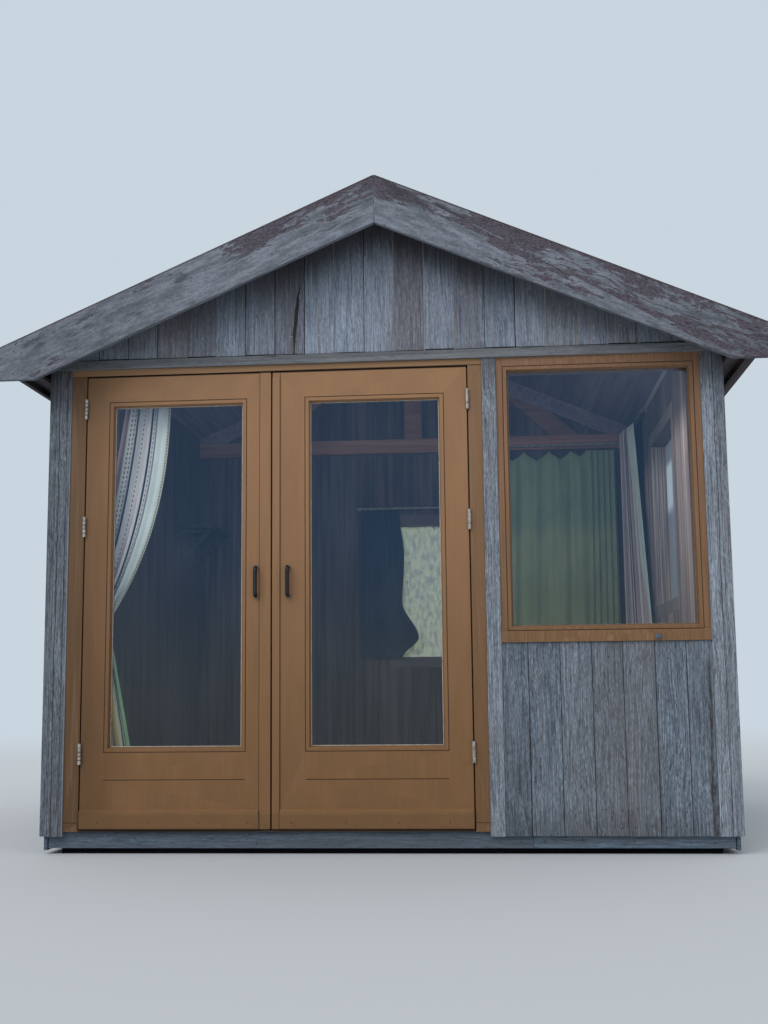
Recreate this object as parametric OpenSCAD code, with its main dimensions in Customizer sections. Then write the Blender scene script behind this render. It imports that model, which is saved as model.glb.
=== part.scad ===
// Beach hut: a timber cabin with glazed double doors, one big front window and a low gable roof.
// Origin at the centre of the base on the ground, +X to the right, +Y to the rear, +Z up.

/* [Hut] */
// Width over the side boarding
hut_w = 3000; // [2700:10:3400]
// Depth from the face of the front posts to the outer face of the rear boarding
hut_d = 2600; // [2300:10:3200]
// Height of the ground bearers under the base rails
bearer_h = 25; // [15:1:60]
// Height of the base rails
base_rail_h = 70; // [60:1:90]

/* [Walls] */
// Thickness of the outer boarding of the side and rear walls
boarding_t = 33; // [22:1:38]
// Thickness of the wall frame together with its inner lining
frame_t = 90; // [70:1:110]
// Width of the front posts, seen from the front
post_w = 67; // [55:1:75]
// Depth of the front frame behind its face
front_t = 96; // [90:1:110]
// Depth of the front posts and boards that lap over the base rail
lap_t = 26; // [22:1:30]
// Height of that lap
lap_h = 20; // [12:1:30]
// Width of the mullion post
mullion_w = 64; // [55:1:75]
// Set-back of the boards below the window from the posts' face
panel_set = 4; // [0:1:6]
// Set-back of the door frame and window frame from the posts' face
joinery_set = 6; // [2:1:10]

/* [Front head] */
// Height of the door head that shows under the head rail
door_head_h = 30; // [20:1:45]
// Height of the head rail
head_rail_h = 40; // [30:1:50]
// How far the head rail stands proud of the posts
head_rail_proud = 8; // [4:1:15]
// Gap between the head rail and the gable boards
gable_gap = 3; // [1:1:5]
// Thickness of the gable boards
gable_t = 22; // [18:1:25]
// Height of the beam behind the head rail
header_h = 95; // [80:1:100]

/* [Roof] */
// Height of the roof's top edge over the side walls above the head rail's underside
eaves_rise = 136; // [130:1:180]
// Roof pitch in degrees
roof_pitch = 23.5; // [22:0.5:24.5]
// Overhang of the front bargeboards in front of the posts
front_overhang = 200; // [150:5:260]
// Overhang of the rear bargeboards behind the rear wall
rear_overhang = 120; // [80:5:200]
// Width of the bargeboards
bargeboard_w = 200; // [180:5:215]
// Thickness of the bargeboards
bargeboard_t = 25; // [20:1:30]
// Overhang of the bargeboards beyond the side walls
side_overhang = 200; // [150:5:280]
// Drop from the roof's top edge over the side walls to the bargeboards' level cut
eaves_drop = 221; // [205:1:240]
// Joint between the two bargeboards at the ridge
bargeboard_joint = 1.5; // [0.6:0.1:3]
// Depth of the roofing below the bargeboards' top edge
roofing_drop = 8; // [4:1:12]
// Thickness of the roofing felt
felt_t = 4; // [3:1:6]
// Thickness of the roof boards
roof_board_t = 22; // [18:1:28]
// How far the roof boards stop short of the bargeboards' ends
roof_short = 12; // [5:1:25]
// Distance of the fascia from the side wall
eaves_w = 62; // [40:1:65]
// Thickness of the fascia boards
fascia_t = 20; // [16:1:24]
// Thickness of the soffit boards
soffit_t = 18; // [12:1:22]
// How far the fascia hangs below the soffit
fascia_drip = 28; // [10:1:35]

/* [Roof frame] */
// Width of the ridge beam
ridge_beam_w = 45; // [35:1:60]
// Thickness of the roof truss at the rear wall
truss_t = 45; // [35:1:60]
// Depth of the truss rafters
rafter_h = 95; // [80:1:110]
// Underside of the tie beam above the underside of the head rail
tie_lift = 30; // [15:1:45]
// Height of the tie beam
tie_h = 90; // [75:1:95]
// Width of the king post
king_w = 110; // [80:1:130]
// Width of the braces
brace_w = 110; // [80:1:130]
// Slope of the braces in degrees
brace_angle = 41; // [36:1:50]
// Distance of each brace's outer foot from the side wall
brace_end = 337; // [280:1:400]

/* [Doors] */
// Width of the left door leaf
left_leaf_w = 838; // [780:1:880]
// Width of the right door leaf
right_leaf_w = 865; // [780:1:900]
// Width of the left jamb
left_jamb_w = 68; // [55:1:80]
// Width of the right jamb
right_jamb_w = 61; // [50:1:75]
// Gap where the leaves meet
meeting_gap = 7; // [6:0.5:9]
// Gap between a leaf and the door frame
leaf_gap = 6; // [5:0.5:8]
// Gap over, under and behind a leaf
leaf_clear = 5; // [5:0.5:7]
// Underside of the leaves above the base rails
leaf_lift = 12; // [10:0.5:16]
// Height of the leaves
leaf_h = 2000; // [1900:1:2010]
// Thickness of the leaves
leaf_t = 44; // [38:1:48]
// Width of the stiles on the hinge side
hinge_stile = 104; // [90:1:120]
// Width of the left leaf's meeting stile
left_stile = 112; // [95:1:130]
// Width of the right leaf's meeting stile
right_stile = 147; // [110:1:160]
// Height of the top rail
top_rail = 119; // [100:1:140]
// Height of the bottom rail
bottom_rail = 328; // [280:1:360]
// Height of the groove in the bottom rail above the leaf's foot
groove_z = 208; // [150:1:240]
// Width of the planted strip on the left leaf
left_strip_w = 49; // [40:1:60]
// Width of the planted strip on the right leaf
right_strip_w = 33; // [25:1:50]
// How far the right strip stops below the leaf's top
right_strip_drop = 21; // [0:1:40]
// Thickness of the planted strips
strip_t = 6; // [4:1:8]
// Height of the weatherboards
weatherboard_h = 83; // [60:1:100]
// Thickness of the weatherboards
weatherboard_t = 12; // [8:1:12]
// How far the frame's stops reach behind a leaf
stop_lap = 12; // [8:1:20]
// Height of the blocks at the jambs' feet
jamb_block_h = 36; // [20:1:50]

/* [Glazing] */
// Width of the glazing beads
bead_w = 15; // [12:1:18]
// How far the beads slope inwards
bead_slope = 6; // [2:1:8]
// Depth of the glass behind the frame's face
glass_set = 25; // [18:1:30]
// Thickness of the glass
glass_t = 4; // [3:0.5:6]
// How far the glass sits in its slot
glass_lap = 8; // [5:1:10]
// Width of the grooves around the beads and across the rails
line_w = 3; // [1.5:0.5:4]
// Depth of those grooves
line_d = 3; // [1.5:0.5:5]

/* [Hinges and handles] */
// Length of a hinge
hinge_l = 90; // [70:1:110]
// Radius of the hinge barrel
barrel_r = 7.5; // [6:0.5:9]
// How much wider the lower knuckles of the right leaf's hinges are
lower_knuckle_extra = 0.5; // [0:0.1:0.6]
// Length of those lower knuckles
lower_knuckle_l = 25; // [18:1:45]
// Gap between the barrel and the leaf's face
barrel_gap = 0.5; // [0.3:0.1:1]
// Radius of the hinge pin
pin_r = 3; // [2.5:0.1:3.5]
// Clearance round the pin
pin_clear = 0.3; // [0.2:0.05:0.4]
// Gap between neighbouring knuckles
knuckle_gap = 0.6; // [0.4:0.1:1]
// Thickness of the hinge flaps
flap_t = 1.6; // [1.2:0.1:2]
// Depth of the hinge flaps behind the leaf's face
flap_d = 30; // [22:1:34]
// Knuckles of a hinge on the left leaf
left_knuckles = 5; // [3:2:7]
// Middle of the lowest hinges above the leaf's foot
hinge_low = 320; // [260:1:360]
// Middle of the centre hinges above the leaf's foot
hinge_mid = 1317; // [1100:1:1400]
// Middle of the top hinges above the leaf's foot
hinge_top = 1852; // [1750:1:1880]
// Length of the handles
handle_l = 147; // [120:1:180]
// Radius of the handles' bar
handle_r = 9; // [6:0.5:10]
// How far the handles stand out
handle_out = 38; // [34:1:60]
// Bend radius of the handles
handle_bend = 18; // [14:1:22]
// Middle of the handles above the leaf's foot
handle_z = 1060; // [900:1:1150]
// Distance of the left handle from its leaf's meeting edge
left_handle_in = 65; // [58:1:80]
// Distance of the right handle from its leaf's meeting edge
right_handle_in = 70; // [50:1:85]
// Thickness of the handles' feet
foot_t = 4; // [2:0.5:6]
// Radius of the handles' feet
foot_r = 11; // [10.5:0.5:14]

/* [Front window] */
// Underside of the sill above the ground
sill_z = 888; // [800:1:950]
// Height of the sill
sill_h = 48; // [40:1:60]
// How far the sill stands proud of the frame
sill_proud = 12; // [6:1:20]
// Width of the window frame's sides
window_side = 30; // [25:1:45]
// Height of the window frame's head
window_head = 42; // [30:1:60]

/* [Side and rear windows] */
// Front edge of the side window, from the front posts' face
side_window_y = 715; // [650:5:1000]
// Width of the side window
side_window_w = 945; // [400:5:960]
// Sill of the side window above the ground
side_window_z = 1060; // [900:5:1200]
// Height of the side window
side_window_h = 1020; // [600:5:1150]
// Left edge of the rear window
rear_window_x = -170; // [-300:5:0]
// Width of the rear window
rear_window_w = 680; // [500:5:740]
// Sill of the rear window above the ground
rear_window_z = 820; // [750:5:950]
// Height of the rear window
rear_window_h = 960; // [700:5:1000]
// Width of the small windows' frames
small_frame_w = 45; // [35:1:60]
// How far the small windows' frames stand proud of the boarding
small_frame_proud = 8; // [4:1:20]
// How far the small windows' beads are set back in their frames
small_reveal = 20; // [6:1:40]

/* [Fittings] */
// Underside of the wall shelf above the ground
shelf_z = 1655; // [1550:5:1750]
// Distance of the wall shelf from the rear wall
shelf_back = 60; // [20:1:400]
// Depth of the wall shelf
shelf_d = 205; // [150:5:250]
// Length of the wall shelf
shelf_l = 500; // [400:10:1000]
// Thickness of the wall shelf
shelf_t = 20; // [16:1:25]
// Radius of the curtain rods
rod_r = 8; // [6:0.5:12]
// How far the rods stand off the timber that carries them
rod_off = 30; // [28:1:45]
// Length of the rod at the rear
rear_rod_l = 840; // [600:10:900]
// Distance of the rear rod's end from the right wall
rear_rod_end = 70; // [60:1:160]
// Length of the rod on the right wall
side_rod_l = 700; // [600:10:800]
// Distance of the side rod's end from the rear wall
side_rod_end = 77; // [60:1:90]
// Height of the side rod above the tie beam's underside
side_rod_lift = 78; // [60:1:90]
// Length of the rod over the doors
door_rod_l = 425; // [420:5:500]
// Thickness of the hanging curtains
curtain_t = 55; // [40:1:56]
// Foot of the plain curtain above the floor
plain_curtain_foot = 200; // [50:5:400]
// Width of the striped curtain at its rod
striped_curtain_w = 350; // [200:5:400]
// Depth of the striped curtain's folds
striped_curtain_t = 95; // [50:1:105]
// Foot of the striped curtain above the floor
striped_curtain_foot = 705; // [400:5:900]
// How much wider the striped curtain is at its foot
striped_curtain_flare = 490; // [0:5:520]
// Width of the door curtain at its rod
door_curtain_w = 400; // [300:5:410]
// Width of the door curtain where it is tied back
tie_back_w = 118; // [80:2:160]
// Height of the tie-back above the floor
tie_back_h = 915; // [800:5:1100]
// Foot of the door curtain above the floor
door_curtain_foot = 205; // [100:5:700]
// How much wider the door curtain is at its foot than at its tie-back
door_curtain_flare = 125; // [20:5:160]
// How far the rod over the rear window reaches past the window at each end
window_rod_end = 195; // [185:5:260]
// Height of that rod above the rear window
window_rod_lift = 40; // [30:5:80]
// Width of the rear curtain at its rod
rear_curtain_w = 250; // [150:5:300]
// How far the rear curtain covers the rear window
rear_curtain_over = 75; // [40:5:150]
// Height of the rear curtain's tie-back above the floor
rear_tie_h = 1130; // [1000:5:1250]
// Height of the rear curtain's widest fold above the floor
rear_flare_h = 910; // [860:5:960]
// How much further that fold reaches
rear_flare = 100; // [40:5:140]
// Foot of the rear curtain above the floor
rear_curtain_foot = 790; // [700:5:850]

/* [Hidden] */

// Cutting allowance and the clearance between pieces that only lie side by side
eps = 1;
seat = 0.3;

// Depths, measured from the front of the posts and centred so that the roof overhangs balance
face_y = -(hut_d + rear_overhang - front_overhang) / 2;
rear_y = face_y + hut_d;
half_w = hut_w / 2;
frame_x = half_w - boarding_t;
inner_x = frame_x - frame_t;
inner_rear_y = rear_y - boarding_t - frame_t;
front_back_y = face_y + front_t;
joinery_y = face_y + joinery_set;

// Heights
rail_top = bearer_h + base_rail_h;
lap_z = rail_top - lap_h;
leaf_z = rail_top + leaf_lift;
leaf_top = leaf_z + leaf_h;
head_under = leaf_top + leaf_clear;
head_z = head_under + door_head_h;

// Roof planes: the height at a distance from the middle, a depth below the bargeboards' top edge
function roof_z(x, d) = ridge_z - tan(roof_pitch) * abs(x) - d / cos(roof_pitch);
roof_edge_z = head_z + eaves_rise;
ridge_z = roof_edge_z + tan(roof_pitch) * half_w;
felt_d = roofing_drop + felt_t;
board_d = felt_d + roof_board_t;
under_d = board_d + seat;
rafter_d = board_d + rafter_h;
bargeboard_reach = half_w + side_overhang;
bargeboard_cut_z = roof_edge_z - eaves_drop;
roof_reach = bargeboard_reach - roof_short;
roof_y0 = face_y - front_overhang + bargeboard_t;
roof_y1 = rear_y + rear_overhang - bargeboard_t;
soffit_z = bargeboard_cut_z + fascia_drip;
tie_z = head_z + tie_lift;
tie_top = tie_z + tie_h;
truss_y = inner_rear_y - truss_t;
brace_foot = inner_x - brace_end;
ridge_beam_z = roof_z(king_w / 2, rafter_d);

// Door leaves
hinge_y = joinery_y - barrel_r - barrel_gap;
left_jamb_x = -frame_x + post_w;
door_x0 = left_jamb_x + left_jamb_w + leaf_gap;
left_x1 = door_x0 + left_leaf_w;
right_x0 = left_x1 + meeting_gap;
door_x1 = right_x0 + right_leaf_w;
mullion_x = door_x1 + leaf_gap + right_jamb_w;
left_hinge_x = door_x0 - leaf_gap / 2;
right_hinge_x = door_x1 + leaf_gap / 2;
stop_y = joinery_y + leaf_t + leaf_clear;
light_z0 = leaf_z + bottom_rail;
light_z1 = leaf_top - top_rail;
flap_pocket = seat;

// Front window
window_x0 = mullion_x + mullion_w;
window_x1 = frame_x - post_w;

// Places of the fittings
rod_plate_t = 3;
rod_plate_r = 14;
rod_arm_r = 0.7 * rod_r;
rod_arm_in = 20;
rear_rod_z = tie_z + 20;
rear_rod_x1 = inner_x - rear_rod_end;
rear_rod_x0 = rear_rod_x1 - rear_rod_l;
side_rod_z = tie_z + side_rod_lift;
side_rod_y1 = inner_rear_y - side_rod_end;
side_rod_y0 = side_rod_y1 - side_rod_l;
door_rod_z = head_z + header_h / 2;
door_rod_x0 = -inner_x + 12;
door_rod_x1 = door_rod_x0 + door_rod_l;
window_rod_x0 = rear_window_x - window_rod_end;
window_rod_x1 = rear_window_x + rear_window_w + window_rod_end;
window_rod_z = rear_window_z + rear_window_h + window_rod_lift;
window_rod_y = inner_rear_y - rod_off;
round_fn = 48;
small_fn = 24;

// A flat outline in X and Z, carried along Y
module along_y(y0, y1) {
  translate([0, y1, 0])
    rotate([90, 0, 0])
      linear_extrude(y1 - y0)
        children();
}

// A flat outline in Y and Z, carried along X
module along_x(x0, x1) {
  translate([x0, 0, 0])
    rotate([90, 0, 90])
      linear_extrude(x1 - x0)
        children();
}

// A block from its lowest to its highest corner
module block(low, high) {
  translate(low) cube(high - low);
}

// A strip of roof on one side, between two depths below the top edge
module roof_strip(side, x0, x1, d0, d1) {
  polygon([
    [side * x0, roof_z(x0, d0)],
    [side * x1, roof_z(x1, d0)],
    [side * x1, roof_z(x1, d1)],
    [side * x0, roof_z(x0, d1)]
  ]);
}

// Base

bearer_w = 90;
bearer_in = 85;
bearer_set = 55;

module ground_bearers() {
  color("#2b2a28")
    for (y = [face_y + bearer_set, (face_y + rear_y - bearer_w) / 2, rear_y - bearer_set - bearer_w])
      block([-half_w + bearer_in, y, 0], [half_w - bearer_in, y + bearer_w, bearer_h]);
}

rail_seam_x = window_x0 + 115;
rail_t = front_t - lap_t;

module base_rails() {
  color("#6e757c") {
    block([-frame_x, face_y + lap_t, bearer_h], [rail_seam_x - seat, front_back_y, rail_top]);
    block([rail_seam_x + seat, face_y + lap_t, bearer_h], [frame_x, front_back_y, rail_top]);
    for (side = [-1, 1])
      translate([side * (frame_x - rail_t / 2) - rail_t / 2, front_back_y + seat, bearer_h])
        cube([rail_t, rear_y - boarding_t - rail_t - front_back_y - 2 * seat, base_rail_h]);
    block([-frame_x, rear_y - boarding_t - rail_t, bearer_h], [frame_x, rear_y - boarding_t, rail_top]);
  }
}

module floor() {
  edge = frame_x - rail_t - seat;
  color("#a98f6d")
    block([-edge, front_back_y + seat, bearer_h], [edge, rear_y - boarding_t - rail_t - seat, rail_top]);
}

// Front frame

// A front post: it stands on the base rail and laps over its face
module front_post(x0, w) {
  color("#7d858d") {
    block([x0, face_y, lap_z], [x0 + w, face_y + lap_t, head_z]);
    block([x0, face_y + lap_t - eps, rail_top], [x0 + w, front_back_y, head_z]);
  }
}

module left_front_post() front_post(-frame_x, post_w);
module mullion_post() front_post(mullion_x, mullion_w);
module right_front_post() front_post(frame_x - post_w, post_w);

module front_header() {
  color("#8a7358")
    block([-frame_x, face_y + gable_t, head_z], [frame_x, front_back_y, head_z + header_h]);
}

module head_rail() {
  color("#7a8082") {
    block([-frame_x, face_y - head_rail_proud, head_z], [frame_x, face_y + gable_t, head_z + head_rail_h]);
    block([-half_w, face_y - head_rail_proud, head_z], [half_w, face_y, head_z + head_rail_h]);
  }
}

module front_gable() {
  foot = head_z + head_rail_h + gable_gap;
  color("#8b949d")
    along_y(face_y, face_y + gable_t)
      polygon([
        [-frame_x, foot],
        [frame_x, foot],
        [frame_x, roof_z(frame_x, under_d)],
        [0, roof_z(0, under_d)],
        [-frame_x, roof_z(frame_x, under_d)]
      ]);
}

// The wall below the front window: outer boards lapped over the base rail, and the frame behind them
module front_wall() {
  color("#7b8189") {
    block([window_x0, face_y + panel_set, lap_z], [window_x1, face_y + lap_t, sill_z]);
    block([window_x0, face_y + lap_t - eps, rail_top], [window_x1, front_back_y, sill_z]);
  }
}

// Walls

skirt_in = 3;
skirt_t = 16;
skirt_drop = 8;

// A side wall: boarding over its whole depth, the frame inside it and a thin skirt at its foot
module side_wall(side) {
  along_y(face_y, rear_y - boarding_t)
    polygon([
      [side * frame_x, lap_z],
      [side * half_w, lap_z],
      [side * half_w, roof_z(half_w, under_d)],
      [side * frame_x, roof_z(frame_x, under_d)]
    ]);
  along_y(front_back_y, rear_y - boarding_t)
    polygon([
      [side * inner_x, rail_top],
      [side * (frame_x + eps), rail_top],
      [side * (frame_x + eps), roof_z(frame_x + eps, under_d)],
      [side * inner_x, roof_z(inner_x, under_d)]
    ]);
  along_y(face_y + lap_t, rear_y - boarding_t)
    translate([side * (frame_x + skirt_in + skirt_t / 2), 0])
      translate([-skirt_t / 2, bearer_h - skirt_drop])
        square([skirt_t, lap_z - bearer_h + skirt_drop + eps]);
}

module left_wall() {
  color("#6f757b") side_wall(-1);
}

module right_wall() {
  color("#6f757b")
    difference() {
      side_wall(1);
      block(
        [inner_x - eps, face_y + side_window_y, side_window_z],
        [half_w + eps, face_y + side_window_y + side_window_w, side_window_z + side_window_h]
      );
    }
}

module rear_wall() {
  boarding_y = rear_y - boarding_t;
  color("#6f757b")
    difference() {
      intersection() {
        translate([0, 0, lap_z])
          linear_extrude(ridge_z - lap_z)
            polygon([
              [-half_w, boarding_y],
              [-inner_x, boarding_y],
              [-inner_x, inner_rear_y],
              [inner_x, inner_rear_y],
              [inner_x, boarding_y],
              [half_w, boarding_y],
              [half_w, rear_y],
              [-half_w, rear_y]
            ]);
        along_y(inner_rear_y - eps, rear_y + eps)
          polygon([
            [-half_w - eps, lap_z - eps],
            [half_w + eps, lap_z - eps],
            [half_w + eps, roof_z(half_w + eps, under_d)],
            [0, roof_z(0, under_d)],
            [-half_w - eps, roof_z(half_w + eps, under_d)]
          ]);
      }
      block([-inner_x - eps, inner_rear_y - eps, lap_z - eps], [inner_x + eps, boarding_y, rail_top]);
      block(
        [rear_window_x, inner_rear_y - eps, rear_window_z],
        [rear_window_x + rear_window_w, rear_y + eps, rear_window_z + rear_window_h]
      );
    }
}

// Door frame

// A jamb with a stop behind the leaf, pockets for the hinge flaps and a block at its foot
module jamb(outer_x, leaf_x, side) {
  inner = leaf_x - side * leaf_gap;
  stop = leaf_x + side * stop_lap;
  difference() {
    translate([0, 0, rail_top])
      linear_extrude(head_under - rail_top)
        polygon([
          [outer_x, joinery_y],
          [inner, joinery_y],
          [inner, stop_y],
          [stop, stop_y],
          [stop, front_back_y],
          [outer_x, front_back_y]
        ]);
    for (z = hinge_zs())
      block_between(
        inner - side * flap_t, inner + side * eps,
        joinery_y - eps, joinery_y + flap_d + flap_pocket,
        z - hinge_l / 2 - flap_pocket, z + hinge_l / 2 + flap_pocket
      );
    block_between(
      outer_x - side * eps, inner + side * eps,
      joinery_y - eps, joinery_y + line_d,
      rail_top + jamb_block_h, rail_top + jamb_block_h + line_w
    );
  }
}

// A block whose first two X values may come in either order
module block_between(xa, xb, y0, y1, z0, z1) {
  block([min(xa, xb), y0, z0], [max(xa, xb), y1, z1]);
}

function hinge_zs() = [leaf_z + hinge_low, leaf_z + hinge_mid, leaf_z + hinge_top];

module left_jamb() {
  color("#a3713d") jamb(left_jamb_x, door_x0, 1);
}

module right_jamb() {
  color("#a3713d") jamb(mullion_x, door_x1, -1);
}

module door_head() {
  color("#a3713d") {
    block([left_jamb_x, joinery_y, head_under], [mullion_x, front_back_y, head_z]);
    block(
      [door_x0 + stop_lap + seat, stop_y, leaf_top - stop_lap],
      [door_x1 - stop_lap - seat, front_back_y, head_under + eps]
    );
  }
}

module threshold() {
  color("#6b5138")
    block(
      [door_x0 - leaf_gap + seat, joinery_y, rail_top],
      [door_x1 + leaf_gap - seat, stop_y - seat, leaf_z - leaf_clear]
    );
}

// Glazing

// The opening for a pane: the beads slope in from the face, and a slot all round holds the glass
module light(x0, x1, z0, z1, y, t) {
  in0 = bead_w;
  in1 = bead_w + bead_slope;
  hull() {
    block([x0 + in0, y - eps, z0 + in0], [x1 - in0, y, z1 - in0]);
    block([x0 + in1, y + glass_set - eps, z0 + in1], [x1 - in1, y + glass_set, z1 - in1]);
  }
  block([x0 + in1, y + glass_set - eps, z0 + in1], [x1 - in1, y + t + eps, z1 - in1]);
  block(
    [x0 + in1 - glass_lap - seat, y + glass_set, z0 + in1 - glass_lap - seat],
    [x1 - in1 + glass_lap + seat, y + glass_set + glass_t + seat, z1 - in1 + glass_lap + seat]
  );
  difference() {
    block([x0 - line_w, y - eps, z0 - line_w], [x1 + line_w, y + line_d, z1 + line_w]);
    block([x0, y - 2 * eps, z0], [x1, y + line_d + eps, z1]);
  }
}

module pane(x0, x1, z0, z1, y) {
  in1 = bead_w + bead_slope - glass_lap;
  color("#8fa5ad", 0.4)
    block([x0 + in1, y + glass_set, z0 + in1], [x1 - in1, y + glass_set + glass_t, z1 - in1]);
}

// Doors

drip_w = 3;
weatherboard_slope = 8;

// A leaf of stiles and rails with its planted strip, weatherboard, groove and hinge pockets
module leaf(x0, x1, light_x0, light_x1, strip_x0, strip_x1, strip_top, hinge_edge, side) {
  board_x0 = side > 0 ? x0 : strip_x1;
  board_x1 = side > 0 ? strip_x0 : x1;
  difference() {
    union() {
      block([x0, joinery_y, leaf_z], [x1, joinery_y + leaf_t, leaf_top]);
      block([strip_x0, joinery_y - strip_t, leaf_z], [strip_x1, joinery_y + eps, strip_top]);
      along_x(board_x0, board_x1)
        polygon([
          [joinery_y + eps, leaf_z],
          [joinery_y - weatherboard_t + drip_w, leaf_z],
          [joinery_y - weatherboard_t, leaf_z + 2 * drip_w],
          [joinery_y - weatherboard_t, leaf_z + weatherboard_h - weatherboard_slope],
          [joinery_y, leaf_z + weatherboard_h],
          [joinery_y + eps, leaf_z + weatherboard_h]
        ]);
    }
    light(light_x0, light_x1, light_z0, light_z1, joinery_y, leaf_t);
    block(
      [light_x0, joinery_y - eps, leaf_z + groove_z - line_w / 2],
      [light_x1, joinery_y + line_d, leaf_z + groove_z + line_w / 2]
    );
    for (z = hinge_zs())
      block_between(
        hinge_edge - side * eps, hinge_edge + side * flap_t,
        joinery_y - eps, joinery_y + flap_d + flap_pocket,
        z - hinge_l / 2 - flap_pocket, z + hinge_l / 2 + flap_pocket
      );
  }
}

left_light_x0 = door_x0 + hinge_stile;
left_light_x1 = left_x1 - left_stile;
right_light_x0 = right_x0 + right_stile;
right_light_x1 = door_x1 - hinge_stile;

module left_door() {
  color("#b07f45")
    leaf(
      door_x0, left_x1, left_light_x0, left_light_x1,
      left_x1 - left_strip_w, left_x1, leaf_top, door_x0, 1
    );
}

module right_door() {
  color("#b07f45")
    leaf(
      right_x0, door_x1, right_light_x0, right_light_x1,
      right_x0, right_x0 + right_strip_w, leaf_top - right_strip_drop, door_x1, -1
    );
}

module left_door_glass() pane(left_light_x0, left_light_x1, light_z0, light_z1, joinery_y);
module right_door_glass() pane(right_light_x0, right_light_x1, light_z0, light_z1, joinery_y);

// Handles

// A D-shaped pull with round feet
module handle(x) {
  reach = handle_out - handle_r;
  leg_z = handle_l / 2 - foot_r;
  straight = leg_z - handle_bend;
  color("#1c1c1e")
    translate([x, joinery_y, leaf_z + handle_z]) {
      translate([0, -reach, -straight]) cylinder(r = handle_r, h = 2 * straight, $fn = round_fn);
      for (s = [-1, 1])
        translate([0, 0, s * leg_z]) {
          translate([0, handle_bend - reach, 0])
            rotate([-90, 0, 0])
              cylinder(r = handle_r, h = reach - handle_bend, $fn = round_fn);
          translate([0, -foot_t, 0])
            rotate([-90, 0, 0])
              cylinder(r = foot_r, h = foot_t, $fn = round_fn);
          translate([0, handle_bend - reach, -s * handle_bend])
            rotate([0, s > 0 ? -90 : 90, 0])
              rotate([0, 0, s > 0 ? -90 : -90])
                rotate_extrude(angle = 90, $fn = round_fn)
                  translate([handle_bend, 0]) circle(r = handle_r);
        }
    }
}

module left_handle() handle(left_x1 - left_handle_in);
module right_handle() handle(right_x0 + right_handle_in);

// Hinges

// The levels where one knuckle ends and the next begins, from the hinge's foot
left_levels = [for (i = [0:left_knuckles]) i * hinge_l / left_knuckles];
right_levels = [0, lower_knuckle_l, hinge_l];

// One half of the hinges at x: its flap and every other knuckle. The jamb's half holds the pin.
module hinge_half(x, flap_side, levels, first, r, with_pin) {
  flap_x = x + flap_side * leaf_gap / 2;
  count = len(levels) - 1;
  for (z = hinge_zs())
    translate([0, 0, z - hinge_l / 2]) {
      difference() {
        union() {
          block_between(
            flap_x, flap_x + flap_side * flap_t,
            joinery_y, joinery_y + flap_d,
            0, hinge_l
          );
          for (i = [first:2:count - 1]) {
            translate([x, hinge_y, levels[i] + knuckle_gap / 2])
              cylinder(r = r, h = levels[i + 1] - levels[i] - knuckle_gap, $fn = round_fn);
            block_between(
              flap_x, flap_x + flap_side * flap_t,
              hinge_y, joinery_y + eps,
              levels[i] + knuckle_gap / 2, levels[i + 1] - knuckle_gap / 2
            );
          }
        }
        if (!with_pin)
          translate([x, hinge_y, -eps])
            cylinder(r = pin_r + pin_clear, h = hinge_l + 2 * eps, $fn = round_fn);
      }
      if (with_pin)
        translate([x, hinge_y, knuckle_gap / 2])
          cylinder(r = pin_r, h = hinge_l - knuckle_gap, $fn = round_fn);
    }
}

module jamb_hinges() {
  color("#b9b7b0") {
    hinge_half(left_hinge_x, -1, left_levels, 0, barrel_r, true);
    hinge_half(right_hinge_x, 1, right_levels, 0, barrel_r + lower_knuckle_extra, true);
  }
}

module left_hinges() {
  color("#b9b7b0") hinge_half(left_hinge_x, 1, left_levels, 1, barrel_r, false);
}

module right_hinges() {
  color("#b9b7b0") hinge_half(right_hinge_x, -1, right_levels, 1, barrel_r, false);
}

// Windows

window_z0 = sill_z + sill_h;
window_light_x0 = window_x0 + window_side;
window_light_x1 = window_x1 - window_side;
window_light_z1 = head_z - window_head;

module front_window_frame() {
  color("#a3713d")
    difference() {
      union() {
        block([window_x0, joinery_y, sill_z], [window_x1, front_back_y, head_z]);
        block([window_x0, joinery_y - sill_proud, sill_z], [window_x1, joinery_y + eps, window_z0]);
      }
      light(window_light_x0, window_light_x1, window_z0 + line_w, window_light_z1, joinery_y, front_t);
    }
}

module front_window_glass() {
  pane(window_light_x0, window_light_x1, window_z0 + line_w, window_light_z1, joinery_y);
}

small_bead_y = small_reveal - small_frame_proud;

// A small window in a wall, drawn facing -Y with its lower left corner at the origin
module small_window(w, h) {
  depth = boarding_t + frame_t + small_frame_proud;
  reveal = small_frame_w - line_w;
  difference() {
    block([0, -small_frame_proud, 0], [w, depth - small_frame_proud, h]);
    block([reveal, -small_frame_proud - eps, reveal], [w - reveal, small_bead_y + eps, h - reveal]);
    light(small_frame_w, w - small_frame_w, small_frame_w, h - small_frame_w, small_bead_y, depth - small_reveal);
  }
}

module small_pane(w, h) {
  pane(small_frame_w, w - small_frame_w, small_frame_w, h - small_frame_w, small_bead_y);
}

// Turns a small window into the right wall, and into the rear wall
module in_right_wall() {
  translate([half_w, face_y + side_window_y, side_window_z]) rotate([0, 0, 90]) children();
}

module in_rear_wall() {
  translate([rear_window_x + rear_window_w, rear_y, rear_window_z]) rotate([0, 0, 180]) children();
}

module side_window_frame() {
  color("#a3713d") in_right_wall() small_window(side_window_w, side_window_h);
}

module side_window_glass() in_right_wall() small_pane(side_window_w, side_window_h);

module rear_window_frame() {
  color("#a3713d") in_rear_wall() small_window(rear_window_w, rear_window_h);
}

module rear_window_glass() in_rear_wall() small_pane(rear_window_w, rear_window_h);

// Roof frame

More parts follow.
